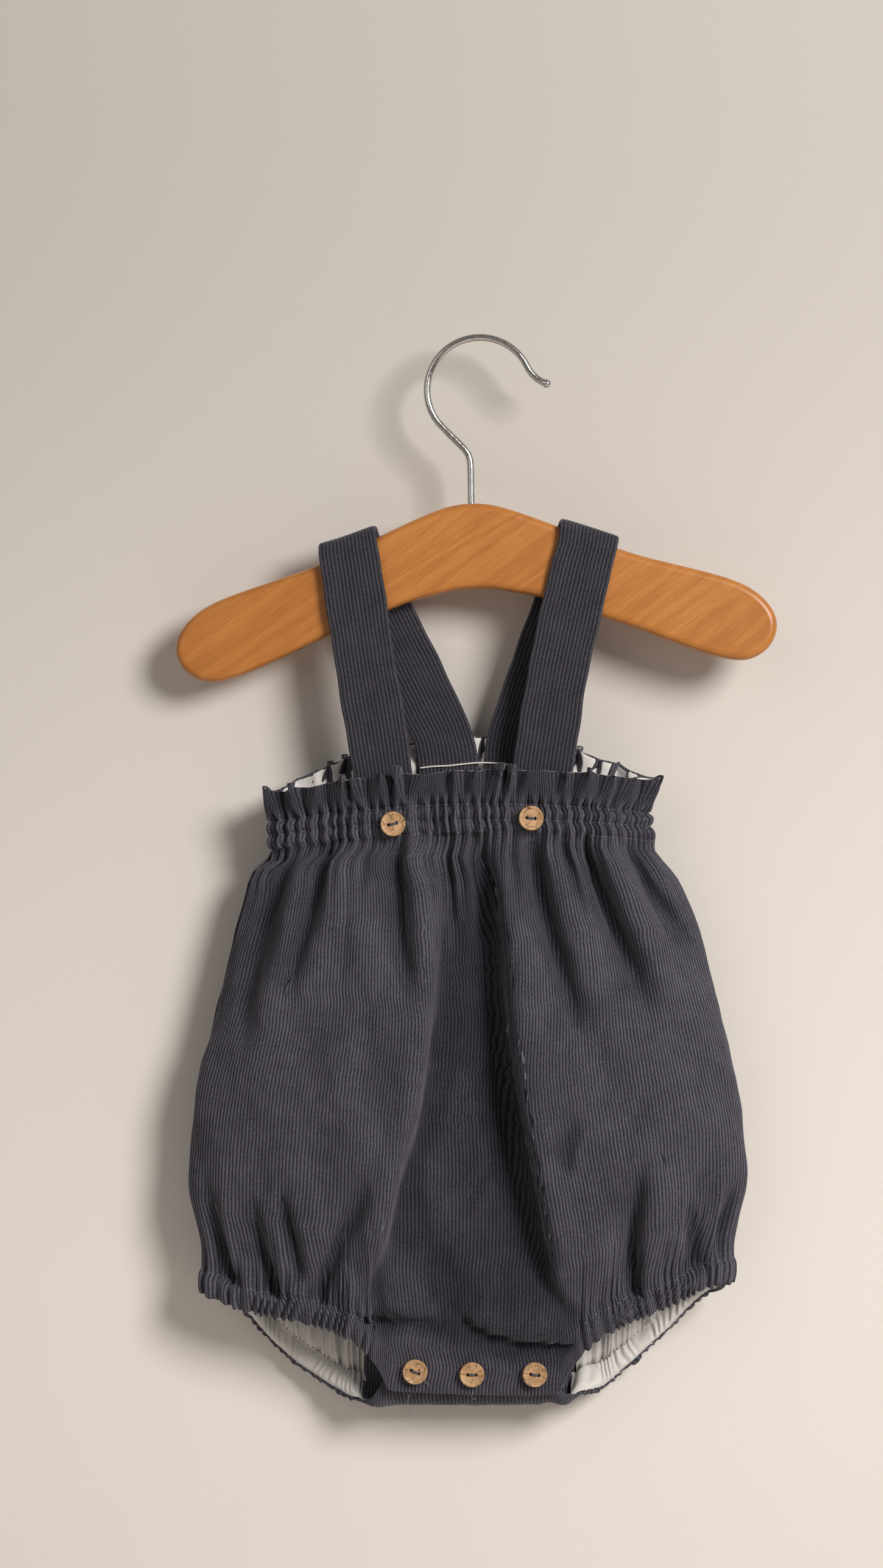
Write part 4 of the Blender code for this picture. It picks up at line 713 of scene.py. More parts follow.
class Cloth:
    """The fine surface of one panel: a grid of points with its own ways out and across."""

    def __init__(self, point, facing, gathers, waves, seed, spans, pleats):
        self.point = point
        self.pleats = pleats
        self.facing = facing
        self.gathers = gathers
        self.waves = waves
        self.seed = seed
        self.levels = levels_of(spans)
        self.count = WALES * STEPS_PER_WALE
        self.build()

    def build(self):
        """Find the plain surface, the direction out of it and the direction along each row."""
        rows, soft, across = [], [], []
        for level in self.levels:
            places = columns(self.point, level, self.count)
            rows.append(self.point(places, level))
            soft.append(self.point(places, level, SOFT_SHARE))
            across.append(places)
        self.base = np.array(rows)
        self.across = np.array(across)
        soft = np.array(soft)
        self.part = np.linspace(0, 1, self.count + 1)
        along = np.gradient(soft, axis=1)
        down = np.gradient(soft, axis=0)
        normal = unit(np.cross(along, down) * self.facing)
        sides = ease(np.minimum(self.part, 1 - self.part), 0.0, SEAM_REACH)[None, :, None]
        seam = np.zeros_like(normal)
        seam[..., 0] = np.where(self.part < 0.5, -1.0, 1.0)
        self.out = unit(normal * sides + seam * (1 - sides))
        self.way = unit(along)
        self.down = unit(down)
        self.level = np.array(self.levels)[:, None] + np.zeros((1, self.count + 1))
        self.shape()

    def shape(self):
        """Work out how far every point moves out, along its row, and how worn it is."""
        level, part = self.level, self.part[None, :] + np.zeros_like(self.level)
        ends = self.ends = ease(np.minimum(part, 1 - part), 0.0, SEAM_REACH)
        phase = uneven(part, self.gathers, self.seed + 1.0)
        drift = hills(level.shape, ((6, 3.0), (11, 5.0)), int(self.seed * 211))
        phase = phase + 0.7 * drift * ease(level, 0.9, 1.3) * (1 - ease(level, 3.3, 3.7)) * ends
        chance = np.random.default_rng(int(self.seed * 10))
        own = pick(chance.random(self.gathers + 3), phase / (2 * math.pi))
        ridge = np.abs(np.sin(phase / 2)) ** 0.8
        below = np.maximum(level - STITCH_3, 0)
        fade = bell(below, 0.028 + 0.11 * own ** 2, 1.4)
        even = bell(below, 0.055, 1.4)
        top = ease(level, 0.55, 1.0)
        pinch = np.ones_like(level)
        for row in STITCH_ROWS:
            pinch -= 0.42 * bell(level - row, 0.13)
        height = WAIST_RIDGE + WAIST_VALLEY
        waist = (height * ridge * (0.72 + 0.4 * own) * fade - WAIST_VALLEY * even) * top
        inside = (level > 1.0) & (level < 3.0)
        puff = np.where(inside, CHANNEL_PUFF * np.sin(math.pi * (level - 1.0)) ** 2, 0.0)
        waist = waist * (0.72 + 0.28 * pinch) + 0.7 * puff
        waist = waist + (pinch - 1.0) * 0.75 * ease(level, 0.6, 1.0)
        bunch = BUNCHING * np.sin(phase) * top * fade
        merged = uneven(part, MERGED_FOLDS, self.seed + 2.4)
        bulk = pick(chance.random(MERGED_FOLDS + 2), merged / (2 * math.pi))
        begun = ease(below, 0.0, 0.05)
        spread = begun * bell(below, 0.07 + 0.22 * bulk)
        evenly = begun * bell(below, 0.18)
        fold = 2 * np.abs(np.sin(merged / 2)) ** 0.9 * (0.5 + bulk)
        waist += MERGED_HEIGHT * (fold * spread - 0.9 * evenly)
        self.ruffle(level, part)
        self.legs(level, ends)
        crumple = hills(level.shape, ((9, 7), (17, 12), (31, 16)), int(self.seed * 100))
        body = ease(level, 3.02, 3.2) * (1 - ease(level, 3.93, 4.0))
        swell = hills(level.shape, ((3, 2.2), (5, 3.5), (8, 4.0)), int(self.seed * 331))
        self.lift = ((waist + self.flute + self.leg) * ends
                     + CRUMPLE * crumple * (0.35 + 0.65 * body) + SWELL * swell * body * ends)
        self.slide = bunch * ends * 5.0 / 2 + self.flute_slide * ends
        self.wear_and_painted_shade = np.clip(ridge * top * fade * 0.5 + self.leg_wear, 0, 1)

    def pleat(self):
        """Press the narrow pleats in, and lap one side of each over its line."""
        x = self.base[..., 0]
        z = self.base[..., 2]
        body = ease(self.level, 2.95, 3.06) * (1 - ease(self.level, 4.0, 4.25))
        middle = 1 - ease(np.abs(self.part - 0.5), 0.18, 0.2)[None, :]
        flap = middle * (1 - ease(self.level, 4.3, 4.6)) * ease(self.level, 2.95, 3.06)
        body = np.maximum(body, flap)
        shift = np.zeros_like(self.base)
        self.steep = np.zeros_like(x)
        for pleat in self.pleats:
            _, along, line_x, line_z = fitted(pleat, PLEAT_LINE_STEPS)
            depth, width, lap, start, end, step, reach = pleat[8:]
            wide = max(14.0, 2.2 * reach)
            close = ((x > line_x.min() - wide) & (x < line_x.max() + wide)
                     & (z > line_z.min() - wide) & (z < line_z.max() + wide))
            px, pz = x[close], z[close]
            away = (px[:, None] - line_x) ** 2 + (pz[:, None] - line_z) ** 2
            near = np.argmin(away, axis=1)
            way_x = np.gradient(line_x)[near]
            way_z = np.gradient(line_z)[near]
            size = np.hypot(way_x, way_z)
            way_x, way_z = way_x / size, way_z / size
            side = way_x * (pz - line_z[near]) - way_z * (px - line_x[near])
            past = np.sqrt(np.maximum(away[np.arange(len(px)), near] - side ** 2, 0))
            share = start + (end - start) * along[near]
            hump = max(0.0, 0.85 - (start + end) / 2)
            strength = share + hump * 4 * along[near] * (1 - along[near])
            strength = strength * bell(past, max(5.0, 0.6 * reach)) * body[close]
            over = side * np.sign(lap) if lap else side
            press = -depth * bell(side, width)
            wall = bell(side, 1.8 * width) * np.minimum(strength, 1)
            wall = wall * min(abs(lap) + 0.25 * step, 1.0)
            self.steep[close] = np.maximum(self.steep[close], wall)
            lip = 0.32 * abs(depth) * bell(over - 1.9 * width, 1.5 * width) * (lap != 0)
            low = -step * bell(over, reach) * (1 - ease(over, -0.8 * width, 0.6 * width))
            self.lift[close] += (press + lip + low) * strength
            move = lap * bell(over - 1.2 * width, 1.7 * width) * ease(over, 0.0, 0.7 * width)
            move = move * (over > 0) * strength
            shift[close, 0] += way_z * move
            shift[close, 2] -= way_x * move
        self.base = self.base + shift

    def settle(self):
        """Lowest height of the outside around each point, which the cloth's inside follows."""
        full = self.base + self.out * self.lift[..., None] + self.way * self.slide[..., None]
        across, down = np.gradient(full, axis=1), np.gradient(full, axis=0)
        normal = unit(np.cross(across, down) * self.facing)
        self.sideways = normal - self.out * np.sum(normal * self.out, axis=2)[..., None]
        low = self.lift - WALE_HEIGHT
        for _ in range(4):
            padded = np.pad(low, ((0, 0), (1, 1)), mode="edge")
            low = np.minimum(np.minimum(padded[:, :-2], padded[:, 2:]), low)
        padded = np.pad(low, ((1, 1), (0, 0)), mode="edge")
        low = np.minimum(np.minimum(padded[:-2], padded[2:]), low)
        self.lowest = low + WALE_HEIGHT * 0.5 - 1.8 * self.steep

    def ruffle(self, level, part):
        """Flutes of the ruffle: pinched at the first stitch row and open at the edge."""
        phase = uneven(part, self.waves, self.seed)
        warp = (0.6 * np.sin(2 * math.pi * 4.7 * part + 3 * self.seed)
                + 0.25 * np.sin(2 * math.pi * 9.1 * part))
        phase = phase + warp * ease(np.minimum(part, 1 - part), 0.0, 0.04)
        chance = np.random.default_rng(int(self.seed * 53))
        own = pick(chance.random(self.waves + 3), phase / (2 * math.pi))
        lean = pick(chance.uniform(-1.0, 1.0, self.waves + 3), phase / (2 * math.pi))
        loop = np.abs(np.sin(phase / 2))
        free = 1 - ease(level, 0.0, 1.0)
        open_up = 1 - 0.55 * ease(level, 0.0, 0.45)
        round_top = loop ** (0.85 + 0.3 * (1 - free))
        size = (0.62 + 0.6 * own) * free ** 0.5
        self.flute = (FLUTE_OUT + FLUTE_IN) * (round_top * size) - 0.8 * FLUTE_IN * free ** 0.5
        fine = uneven(part, self.gathers, self.seed + 1.0)
        near = ease(level, 0.45, 0.9) * (1 - ease(level, 0.92, 1.0))
        self.flute = self.flute + 0.55 * near * (np.abs(np.sin(fine / 2)) ** 1.1 * 2 - 1.1)
        side = np.sin(phase / 2) ** 2
        self.flute_slide = (2.3 * np.sin(phase) * (0.5 + own) * open_up + 2.6 * lean * side) * free
        self.rise = (6.5 * (own - 0.42) * side ** 0.7 - 2.2 * (1 - side)) * free ** 1.2
        self.rise = self.rise * self.ends - EDGE_DROP * free * (1 - self.ends)

    def legs(self, level, ends):
        """Flutes of the leg casings, which fade upwards into the cloth."""
        left, right = LEG_REACH
        place = np.where(self.across < 0.5, self.across / left, (1 - self.across) / (1 - right))
        turn = (place * LEG_FLUTES + 0.35 * np.sin(place * 17.0 + self.seed)
                + 0.2 * np.sin(place * 41.0))
        in_leg = (1 - ease(self.across, left - 0.02, left + 0.01)
                  + ease(self.across, right - 0.01, right + 0.02))
        chance = np.random.default_rng(int(self.seed * 77))
        own = pick(chance.random(LEG_FLUTES + 6), turn)
        above = np.maximum(CASING - level, 0)
        fade = bell(above, 0.035 + 0.10 * own ** 2, 1.3)
        even = bell(above, 0.065, 1.3)
        ridge = np.abs(np.sin(math.pi * turn)) ** 1.2
        height = (LEG_RIDGE + LEG_VALLEY) * (0.75 + 0.35 * own)
        puff = np.where(level > CASING, np.sin(math.pi * np.clip(level - CASING, 0, 1)) ** 0.8, 0.0)
        stitched = bell(level - CASING, 0.09)
        self.leg = in_leg * (height * ridge * fade - LEG_VALLEY * even
                             + CASING_PUFF * puff - 0.55 * stitched)
        self.leg_wear = in_leg * ridge * fade * 0.45
        self.in_leg = in_leg
        hem = ease(level, CASING, HEM)
        self.scallop = LEG_SCALLOP * in_leg * hem * (ridge * (0.6 + 0.6 * own) - 0.45)

    def surface(self, inset, wales, step=1, under=False, rows=None):
        """Points of one face of the cloth, an inset below its outside."""
        take = (slice(None) if rows is None else rows, slice(None, None, step))
        lift = (self.lowest if under else self.lift)[take] - inset
        if wales:
            turn = np.arange(self.count + 1)[::step] % STEPS_PER_WALE
            wale = (np.array(WALE_PROFILE)[turn] - 1.0)[None, :]
            lift = lift + WALE_HEIGHT * wale * (1 - 0.75 * self.steep[take])
        return (self.base[take] + self.out[take] * lift[..., None]
                + self.way[take] * self.slide[take][..., None]
                + self.down[take] * (self.scallop[take] - self.rise[take])[..., None])


def quads(shape, start, flip):
    """Faces of a grid of points."""
    rows, across = shape
    ids = np.arange(rows * across).reshape(rows, across) + start
    faces = np.stack([ids[:-1, :-1], ids[:-1, 1:], ids[1:, 1:], ids[1:, :-1]], axis=-1)
    faces = faces.reshape(-1, 4)
    return faces[:, ::-1].tolist() if flip else faces.tolist()


def link(first, second, faces):
    """Join two edges of a sheet that can have unlike counts of points."""
    part_a = np.linspace(0, 1, len(first))
    part_b = np.linspace(0, 1, len(second))
    i = 0
    j = 0
    while i < len(first) - 1 or j < len(second) - 1:
        step_a = i < len(first) - 1
        if step_a and j < len(second) - 1:
            step_a = part_a[i + 1] + part_a[i] <= part_b[j + 1] + part_b[j] + 1e-9
        if step_a:
            faces.append((first[i], first[i + 1], second[j]))
            i += 1
        else:
            faces.append((first[i], second[j + 1], second[j]))
            j += 1


def new_object(name, data):
    """An object in the scene with the given data."""
    thing = bpy.data.objects.new(name, data)
    bpy.context.scene.collection.objects.link(thing)
    return thing


def final_mesh(thing):
    """The mesh of an object after its modifiers."""
    bpy.context.view_layer.update()
    ready = thing.evaluated_get(bpy.context.evaluated_depsgraph_get())
    return bpy.data.meshes.new_from_object(ready)


def ring_faces(rings, around):
    """Faces of a closed tube of points, with a cap at each end."""
    ids = np.arange(rings * around).reshape(rings, around)
    after = np.roll(ids, -1, axis=1)
    faces = np.stack([ids[:-1], after[:-1], after[1:], ids[1:]], axis=-1).reshape(-1, 4).tolist()
    return faces + [tuple(ids[0].tolist()), tuple(ids[-1].tolist())]


def grid_uv(across, down):
    """Place across and along the cloth for a grid of points."""
    return np.stack(np.broadcast_arrays(across[None, :], down[:, None]), axis=-1)


def finish_mesh(name, points, faces, materials, indices=None, uv=None, wear_and_painted_shade=None):
    """Make a mesh in metres with its faces outwards, smooth, and put it on the part."""
    mesh = bpy.data.meshes.new(name)
    mesh.from_pydata((np.asarray(points) * MM).tolist(), [], faces)
    if indices is not None:
        mesh.polygons.foreach_set("material_index", indices)
    work = bmesh.new()
    work.from_mesh(mesh)
    bmesh.ops.recalc_face_normals(work, faces=work.faces)
    if work.calc_volume(signed=True) < 0:
        bmesh.ops.reverse_faces(work, faces=work.faces)
    work.to_mesh(mesh)
    work.free()
    mesh.polygons.foreach_set("use_smooth", [True] * len(mesh.polygons))
    if uv is not None:
        corners = np.empty(len(mesh.loops), dtype=np.int64)
        mesh.loops.foreach_get("vertex_index", corners)
        layer = mesh.uv_layers.new(name="cloth")
        layer.data.foreach_set("uv", np.asarray(uv, np.float32)[corners].ravel())
    # Wear above zero and painted shade below zero, kept on the points
    if wear_and_painted_shade is not None:
        layer = mesh.attributes.new("wear_and_painted_shade", "FLOAT", "POINT")
        layer.data.foreach_set("value", np.asarray(wear_and_painted_shade, np.float32).ravel())
    for material in materials:
        mesh.materials.append(material)
    thing = new_object(name, mesh)
    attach(thing, "root")
    return thing


def sheet_mesh(name, outer, inner, uv_outer, uv_inner, wear_and_painted_shade, materials, turned=None):
    """One closed sheet of cloth from its two faces; turned marks inner faces like the outer."""
    start = outer.shape[0] * outer.shape[1]
    faces = quads(outer.shape[:2], 0, False)
    out_faces = len(faces)
    faces += quads(inner.shape[:2], start, True)
    in_faces = len(faces) - out_faces
    out_ids = np.arange(start).reshape(outer.shape[:2])
    in_ids = np.arange(inner.shape[0] * inner.shape[1]).reshape(inner.shape[:2]) + start
    rim = []
    for cut in ((0, slice(None)), (-1, slice(None)), (slice(None), 0), (slice(None), -1)):
        link(out_ids[cut].tolist(), in_ids[cut].tolist(), rim)
    faces += rim
    inside = np.full(in_faces, len(materials) - 1)
    if turned is not None:
        inside[turned[:-1, :-1].ravel()] = 0
    indices = [0] * out_faces + inside.tolist() + [0] * len(rim)
    points = np.concatenate([outer.reshape(-1, 3), inner.reshape(-1, 3)])
    uv = np.concatenate([uv_outer.reshape(-1, 2), uv_inner.reshape(-1, 2)])
    wear_and_shade = np.concatenate([wear_and_painted_shade.ravel(), np.zeros(len(points) - start)])
    return finish_mesh(name, points, faces, materials, indices, uv, wear_and_shade)


def lengths_down(points):
    """How far down the cloth each row is, in millimetres."""
    steps = np.linalg.norm(np.diff(points, axis=0), axis=2).mean(axis=1)
    return np.concatenate([[0.0], np.cumsum(steps)])


def rolled_edge(levels):
    """How much the cloth is rounded off near its two free edges."""
    levels = np.asarray(levels)
    return 0.45 * CLOTH * (bell(levels, 0.03) + bell(HEM - levels, 0.03))


def panel_piece(name, cloth, node, materials):
    """The corduroy of one panel, with its wales as ridges and a plain inside."""
    edge = rolled_edge(cloth.levels)[:, None]
    outer = cloth.surface(edge, True)
    thick = CLOTH - edge + 0.4 * ease(np.asarray(cloth.levels), 3.95, 4.1)[:, None]
    inner = cloth.surface(thick, False, STEPS_PER_WALE, True)
    inner = inner - WALL_STEP * cloth.sideways[:, ::STEPS_PER_WALE]
    uv = grid_uv(cloth.part * WALES, lengths_down(cloth.base))
    level = cloth.level[:, ::STEPS_PER_WALE]
    across = cloth.across[:, ::STEPS_PER_WALE]
    flap = (across > LEG_REACH[0] + 0.012) & (across < LEG_REACH[1] - 0.012)
    turned = ((level > LEG_LINING_END - 0.04) | (flap & (level > CASING - 0.1))
              | (level < LEG_LINING_TOP))
    piece = sheet_mesh(name, outer, inner, uv, uv[:, ::STEPS_PER_WALE], cloth.wear_and_painted_shade, materials,
                       turned)
    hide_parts(node)
    return piece


def facing_piece(name, cloth, node, material):
    """White cotton on the inside of the waist and its ruffle."""
    levels = np.asarray(cloth.levels)
    rows = np.flatnonzero(levels < 3.06)
    step = 2
    inset = (CLOTH + FACING_GAP) * np.ones(len(rows))[:, None]
    inset = inset - 0.4 * bell(levels[rows], 0.05)[:, None]
    near = cloth.surface(inset, False, step, True, rows)
    free = cloth.surface(inset + FACING_CLOTH, False, step, True, rows)
    drop = np.zeros_like(near)
    drop[..., 2] = -FACING_DROP * bell(levels[rows], 0.10)[:, None]
    near = near + drop
    free = free + drop
    uv = grid_uv(np.linspace(0, FLAT_WIDTH, near.shape[1]), lengths_down(near))
    piece = sheet_mesh(name, near, free, uv, uv, np.zeros(near.shape[:2]), [material])
    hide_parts(node)
    return piece


def leg_lining_piece(name, cloth, node, reach, seed, material):
    """White cotton inside a leg of the back: a gathered casing and loose folds above it."""
    levels = np.asarray(cloth.levels)
    rows = np.flatnonzero((levels > LEG_LINING_TOP) & (levels < LEG_LINING_END))
    inset = CLOTH + 0.4 + 1.7 * ease(HEM - levels[rows], 0.0, 0.3)
    under = np.minimum(cloth.lowest[rows] + 1.0, 0)[..., None]
    full = cloth.base[rows] + cloth.out[rows] * (under - inset[:, None, None])
    chosen = np.linspace(reach[0], reach[1], LEG_LINING_COLUMNS + 1)
    near, out = [], []
    for index, row in enumerate(rows):
        near.append(sample(chosen, cloth.across[row], full[index]))
        out.append(sample(chosen, cloth.across[row], cloth.out[row]))
    near = np.array(near)
    out = np.array(out)
    level = levels[rows][:, None]
    place = np.linspace(0, 1, LEG_LINING_COLUMNS + 1)[None, :]
    ends = ease(np.minimum(place, 1 - place), 0.0, 0.04)
    turn = (LEG_LINING_FLUTES * place + 0.8 * np.sin(13 * place + seed)
            + 0.35 * np.sin(31 * place + 2 * seed) + 0.25 * np.sin(4 * level + 9 * place))
    own = pick(np.random.default_rng(int(seed * 17)).random(LEG_LINING_FLUTES + 6), turn)
    flute = np.abs(np.sin(math.pi * turn)) ** 1.4 * (0.35 + 0.9 * own)
    band = ease(level, 3.86, 4.02)
    stitched = bell(level - CASING, 0.10)
    hem = ease(LEG_LINING_END - level, 0.0, 0.12)
    loose = hills(near.shape[:2], ((3, 0.8), (5, 1.2), (9, 1.6)), int(seed * 31))
    height = band * hem * (1.3 * flute + 1.2 * np.sin(math.pi * np.clip(level - CASING, 0, 1)))
    inner = ease(level, LEG_LINING_TOP, LEG_LINING_TOP + 0.2) * (1 - ease(level, 3.95, 4.05))
    height = height + inner * (3.2 * np.maximum(loose, -0.6) + 2.0
                               + 0.7 * flute * bell(np.maximum(CASING - level, 0), 0.05, 1))
    height = np.maximum((height - 0.7 * stitched) * ends, 0.0)
    uv = grid_uv(np.linspace(0, 0.33 * FLAT_WIDTH, near.shape[1]), lengths_down(near))
    free = near - out * (height + FACING_CLOTH)[..., None]
    near = near - out * height[..., None]
    piece = sheet_mesh(name, near, free, uv, uv, np.zeros(near.shape[:2]), [material])
    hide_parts(node)
    return piece, free, level


def strap_piece(name, stations, node, material, seed):
    """A folded strap with wales along both faces and softly rounded edges."""
    rows = smooth_line(stations, 9)
    middle = rows[:, :3]
    turn = np.radians(rows[:, 3])
    way = unit(np.gradient(middle, axis=0))
    width = np.stack([np.cos(turn), np.zeros_like(turn), np.sin(turn)], axis=1)
    width = unit(width - way * (width * way).sum(axis=1)[:, None])
    out = np.cross(width, way)
    down = lengths_along(middle)
    count = STRAP_WALES * STEPS_PER_WALE
    place = np.linspace(-1, 1, count + 1)
    rise = np.array(WALE_PROFILE)[np.arange(count + 1) % STEPS_PER_WALE] * STRAP_WALE_HEIGHT
    thick = ((STRAP_WALL / 2 - STRAP_WALE_HEIGHT) * (1 - np.abs(place) ** 9) ** 0.5
             + rise * (1 - np.abs(place) ** 24))
    half = STRAP_WIDTH / 2
    section = [(a * half, t) for a, t in zip(place, thick)]
    section += [(a * half, -t) for a, t in zip(place[-2:0:-1], thick[-2:0:-1])]
    section = np.array(section)
    wobble = 0.22 * np.sin(down / 9.0 + seed) + 0.16 * np.sin(down / 3.7 + 2 * seed)
    cup = 0.35 * np.sin(down / 31.0 + seed)[:, None] * (1 - (section[:, 0] / half) ** 2)[None, :]
    aside = section[None, :, 0] * (1 + wobble[:, None] / half)
    points = (middle[:, None, :] + width[:, None, :] * aside[..., None]
              + out[:, None, :] * (section[None, :, 1] + cup)[..., None])
    faces = ring_faces(*points.shape[:2])
    across = np.linspace(0, STRAP_WALES, count + 1)
    uv = grid_uv(np.concatenate([across, across[-2:0:-1]]), down).reshape(-1, 2)
    edge = np.abs(section[:, 0]) / half
    wear_and_painted_shade = np.broadcast_to((np.clip(edge - 0.93, 0, 1) * 12)[None, :], points.shape[:2])
    piece = finish_mesh(name, points.reshape(-1, 3), faces, [material], None, uv, wear_and_painted_shade)
    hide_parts(node)
    return piece


def tube(line, radius, sides):
    """Points and faces of a round cord along a line; radius may change along it."""
    line = np.asarray(line, float)
    radius = np.broadcast_to(np.asarray(radius, float), (len(line),))
    way = unit(np.gradient(line, axis=0))
    side = np.cross(way[0], (0.0, 1.0, 0.0))
    if np.linalg.norm(side) < 0.1:
        side = np.cross(way[0], (0.0, 0.0, 1.0))
    sides_list = []
    for direction in way:
        side = side - direction * np.dot(side, direction)
        side = side / np.linalg.norm(side)
        sides_list.append(side)
    one = np.array(sides_list)
    two = np.cross(way, one)
    angle = np.linspace(0, 2 * math.pi, sides, endpoint=False)
    points = line[:, None, :] + radius[:, None, None] * (
        one[:, None, :] * np.cos(angle)[None, :, None]
        + two[:, None, :] * np.sin(angle)[None, :, None])
    return points.reshape(-1, 3), ring_faces(len(line), sides)


class Threads:
    """Many short stitches collected into one mesh."""

    def __init__(self):
        self.points = []
        self.faces = []
        self.count = 0

    def add(self, line, radius, sides=6):
        """One round thread along a line."""
        points, faces = tube(line, radius, sides)
        self.faces += [tuple(k + self.count for k in face) for face in faces]
        self.points.append(points)
        self.count += len(points)

    def row(self, points, out, length, gap, radius, sink=0.25):
        """Stitches along a line: each one rises a little and goes into the cloth at both ends."""
        steps = lengths_along(points)
        start = gap / 2
        while start + length < steps[-1]:
            at = np.linspace(start, start + length, 5)
            lift = radius * 0.7 - (sink + radius) * np.array([1.0, 0.12, 0.0, 0.12, 1.0])
            line = sample(at, steps, points) + sample(at, steps, out) * lift[:, None]
            self.add(line, radius * np.array([0.7, 1.0, 1.0, 1.0, 0.7]))
            start += length + gap

    def done(self, name, material):
        """Put the stitches on the part as one piece."""
        finish_mesh(name, np.concatenate(self.points), self.faces, [material])


def smooth_outline(points, extra):
    """A smooth closed line through the given points."""
    ring = np.array(points, float)
    found = []
    count = len(ring)
    for k in range(count):
        p0, p1, p2, p3 = (ring[(k + step) % count] for step in (-1, 0, 1, 2))
        for t in np.arange(extra) / extra:
            square = (2 * p0 - 5 * p1 + 4 * p2 - p3) * t * t
            cube = (3 * p1 - p0 - 3 * p2 + p3) * t ** 3
            found.append(0.5 * (2 * p1 + (p2 - p0) * t + square + cube))
    return np.array(found)


def board_piece(material):
    """The hanger's board: its outline in the flat, with well rounded edges."""
    half = [(out, top) for out, top, _ in BOARD_HALF]
    under = [(out, bottom) for out, _, bottom in BOARD_HALF]
    right = half + list(BOARD_END) + under[::-1]
    left = [(-x, z) for x, z in right[1:-1]][::-1]
    flat = bpy.data.curves.new("board_outline", "CURVE")
    flat.dimensions = "2D"
    flat.fill_mode = "BOTH"
    flat.extrude = (BOARD_THICKNESS / 2 - BOARD_ROUNDING) * MM
    flat.bevel_depth = BOARD_ROUNDING * MM
    flat.bevel_resolution = 6
    flat.offset = -BOARD_ROUNDING * MM
    outline = smooth_outline(right + left, 5)
    spline = flat.splines.new("POLY")
    spline.points.add(len(outline) - 1)
    for point, (x, z) in zip(spline.points, outline):
        point.co = (x * MM, z * MM, 0.0, 1.0)
    spline.use_cyclic_u = True
    shape = new_object("board_shape", flat)
    mesh = final_mesh(shape)
    bpy.data.objects.remove(shape)
    mesh.name = "hanger_board_wood"
    work = bmesh.new()
    work.from_mesh(mesh)
    bmesh.ops.remove_doubles(work, verts=work.verts, dist=1e-6)
    turn = Vector((0, 0, 1)).rotation_difference(Vector((0, -1, 0))).to_matrix()
    bmesh.ops.rotate(work, verts=work.verts, cent=(0, 0, 0), matrix=turn)
    bmesh.ops.recalc_face_normals(work, faces=work.faces)
    work.to_mesh(mesh)
    work.free()
    flat_faces = [abs(face.normal.y) > 0.999 for face in mesh.polygons]
    mesh.polygons.foreach_set("use_smooth", [not flat_face for flat_face in flat_faces])
    mesh.materials.clear()
    mesh.materials.append(material)
    board = new_object("hanger_board_wood", mesh)
    centre = BOARD_CENTRE_X * MM
    board.location = (centre * math.cos(BOARD_ROLL), 0, centre * math.sin(BOARD_ROLL))
    board.rotation_euler = (0, -BOARD_ROLL, -BOARD_YAW)
    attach(board, "root")
    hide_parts("hanger_board")


def hook_piece(material):
    """Round wire bent into a hook, with a ball at its tip."""
    centre_x, centre_z = HOOK_ARC_CENTRE
    stem_x, stem_z = HOOK_NECK[-1]
    line = [(stem_x, stem_z - STEM_DEPTH + 1.2)]
    line += list(HOOK_NECK[::-1])
    for turn in np.linspace(HOOK_ARC_START, HOOK_ARC_END, 3 * HOOK_ARC_STEPS):
        line.append((centre_x + HOOK_ARC_RADIUS * math.cos(turn),
                     centre_z + HOOK_ARC_RADIUS * math.sin(turn)))
    line += list(HOOK_TIP)
    radius = [WIRE_RADIUS] * len(line)
    ball = np.array(HOOK_BALL_CENTRE)
    way = (ball - np.array(HOOK_TIP[-1])) / np.linalg.norm(ball - np.array(HOOK_TIP[-1]))
    for step in (-0.6, -0.45, -0.3, -0.1, 0.1, 0.3, 0.5, 0.7, 0.85, 0.95, 0.99):
        line.append(tuple(ball + way * (step * BALL_RADIUS)))
        radius.append(BALL_RADIUS * math.sqrt(1 - step * step))
    line = np.array(line)
    path = np.stack([line[:, 0], np.zeros(len(line)), line[:, 1]], axis=1)
    points, faces = tube(path, radius, 20)
    hook = finish_mesh("hook_wire", points, faces, [material])
    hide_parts("hanger_hook")


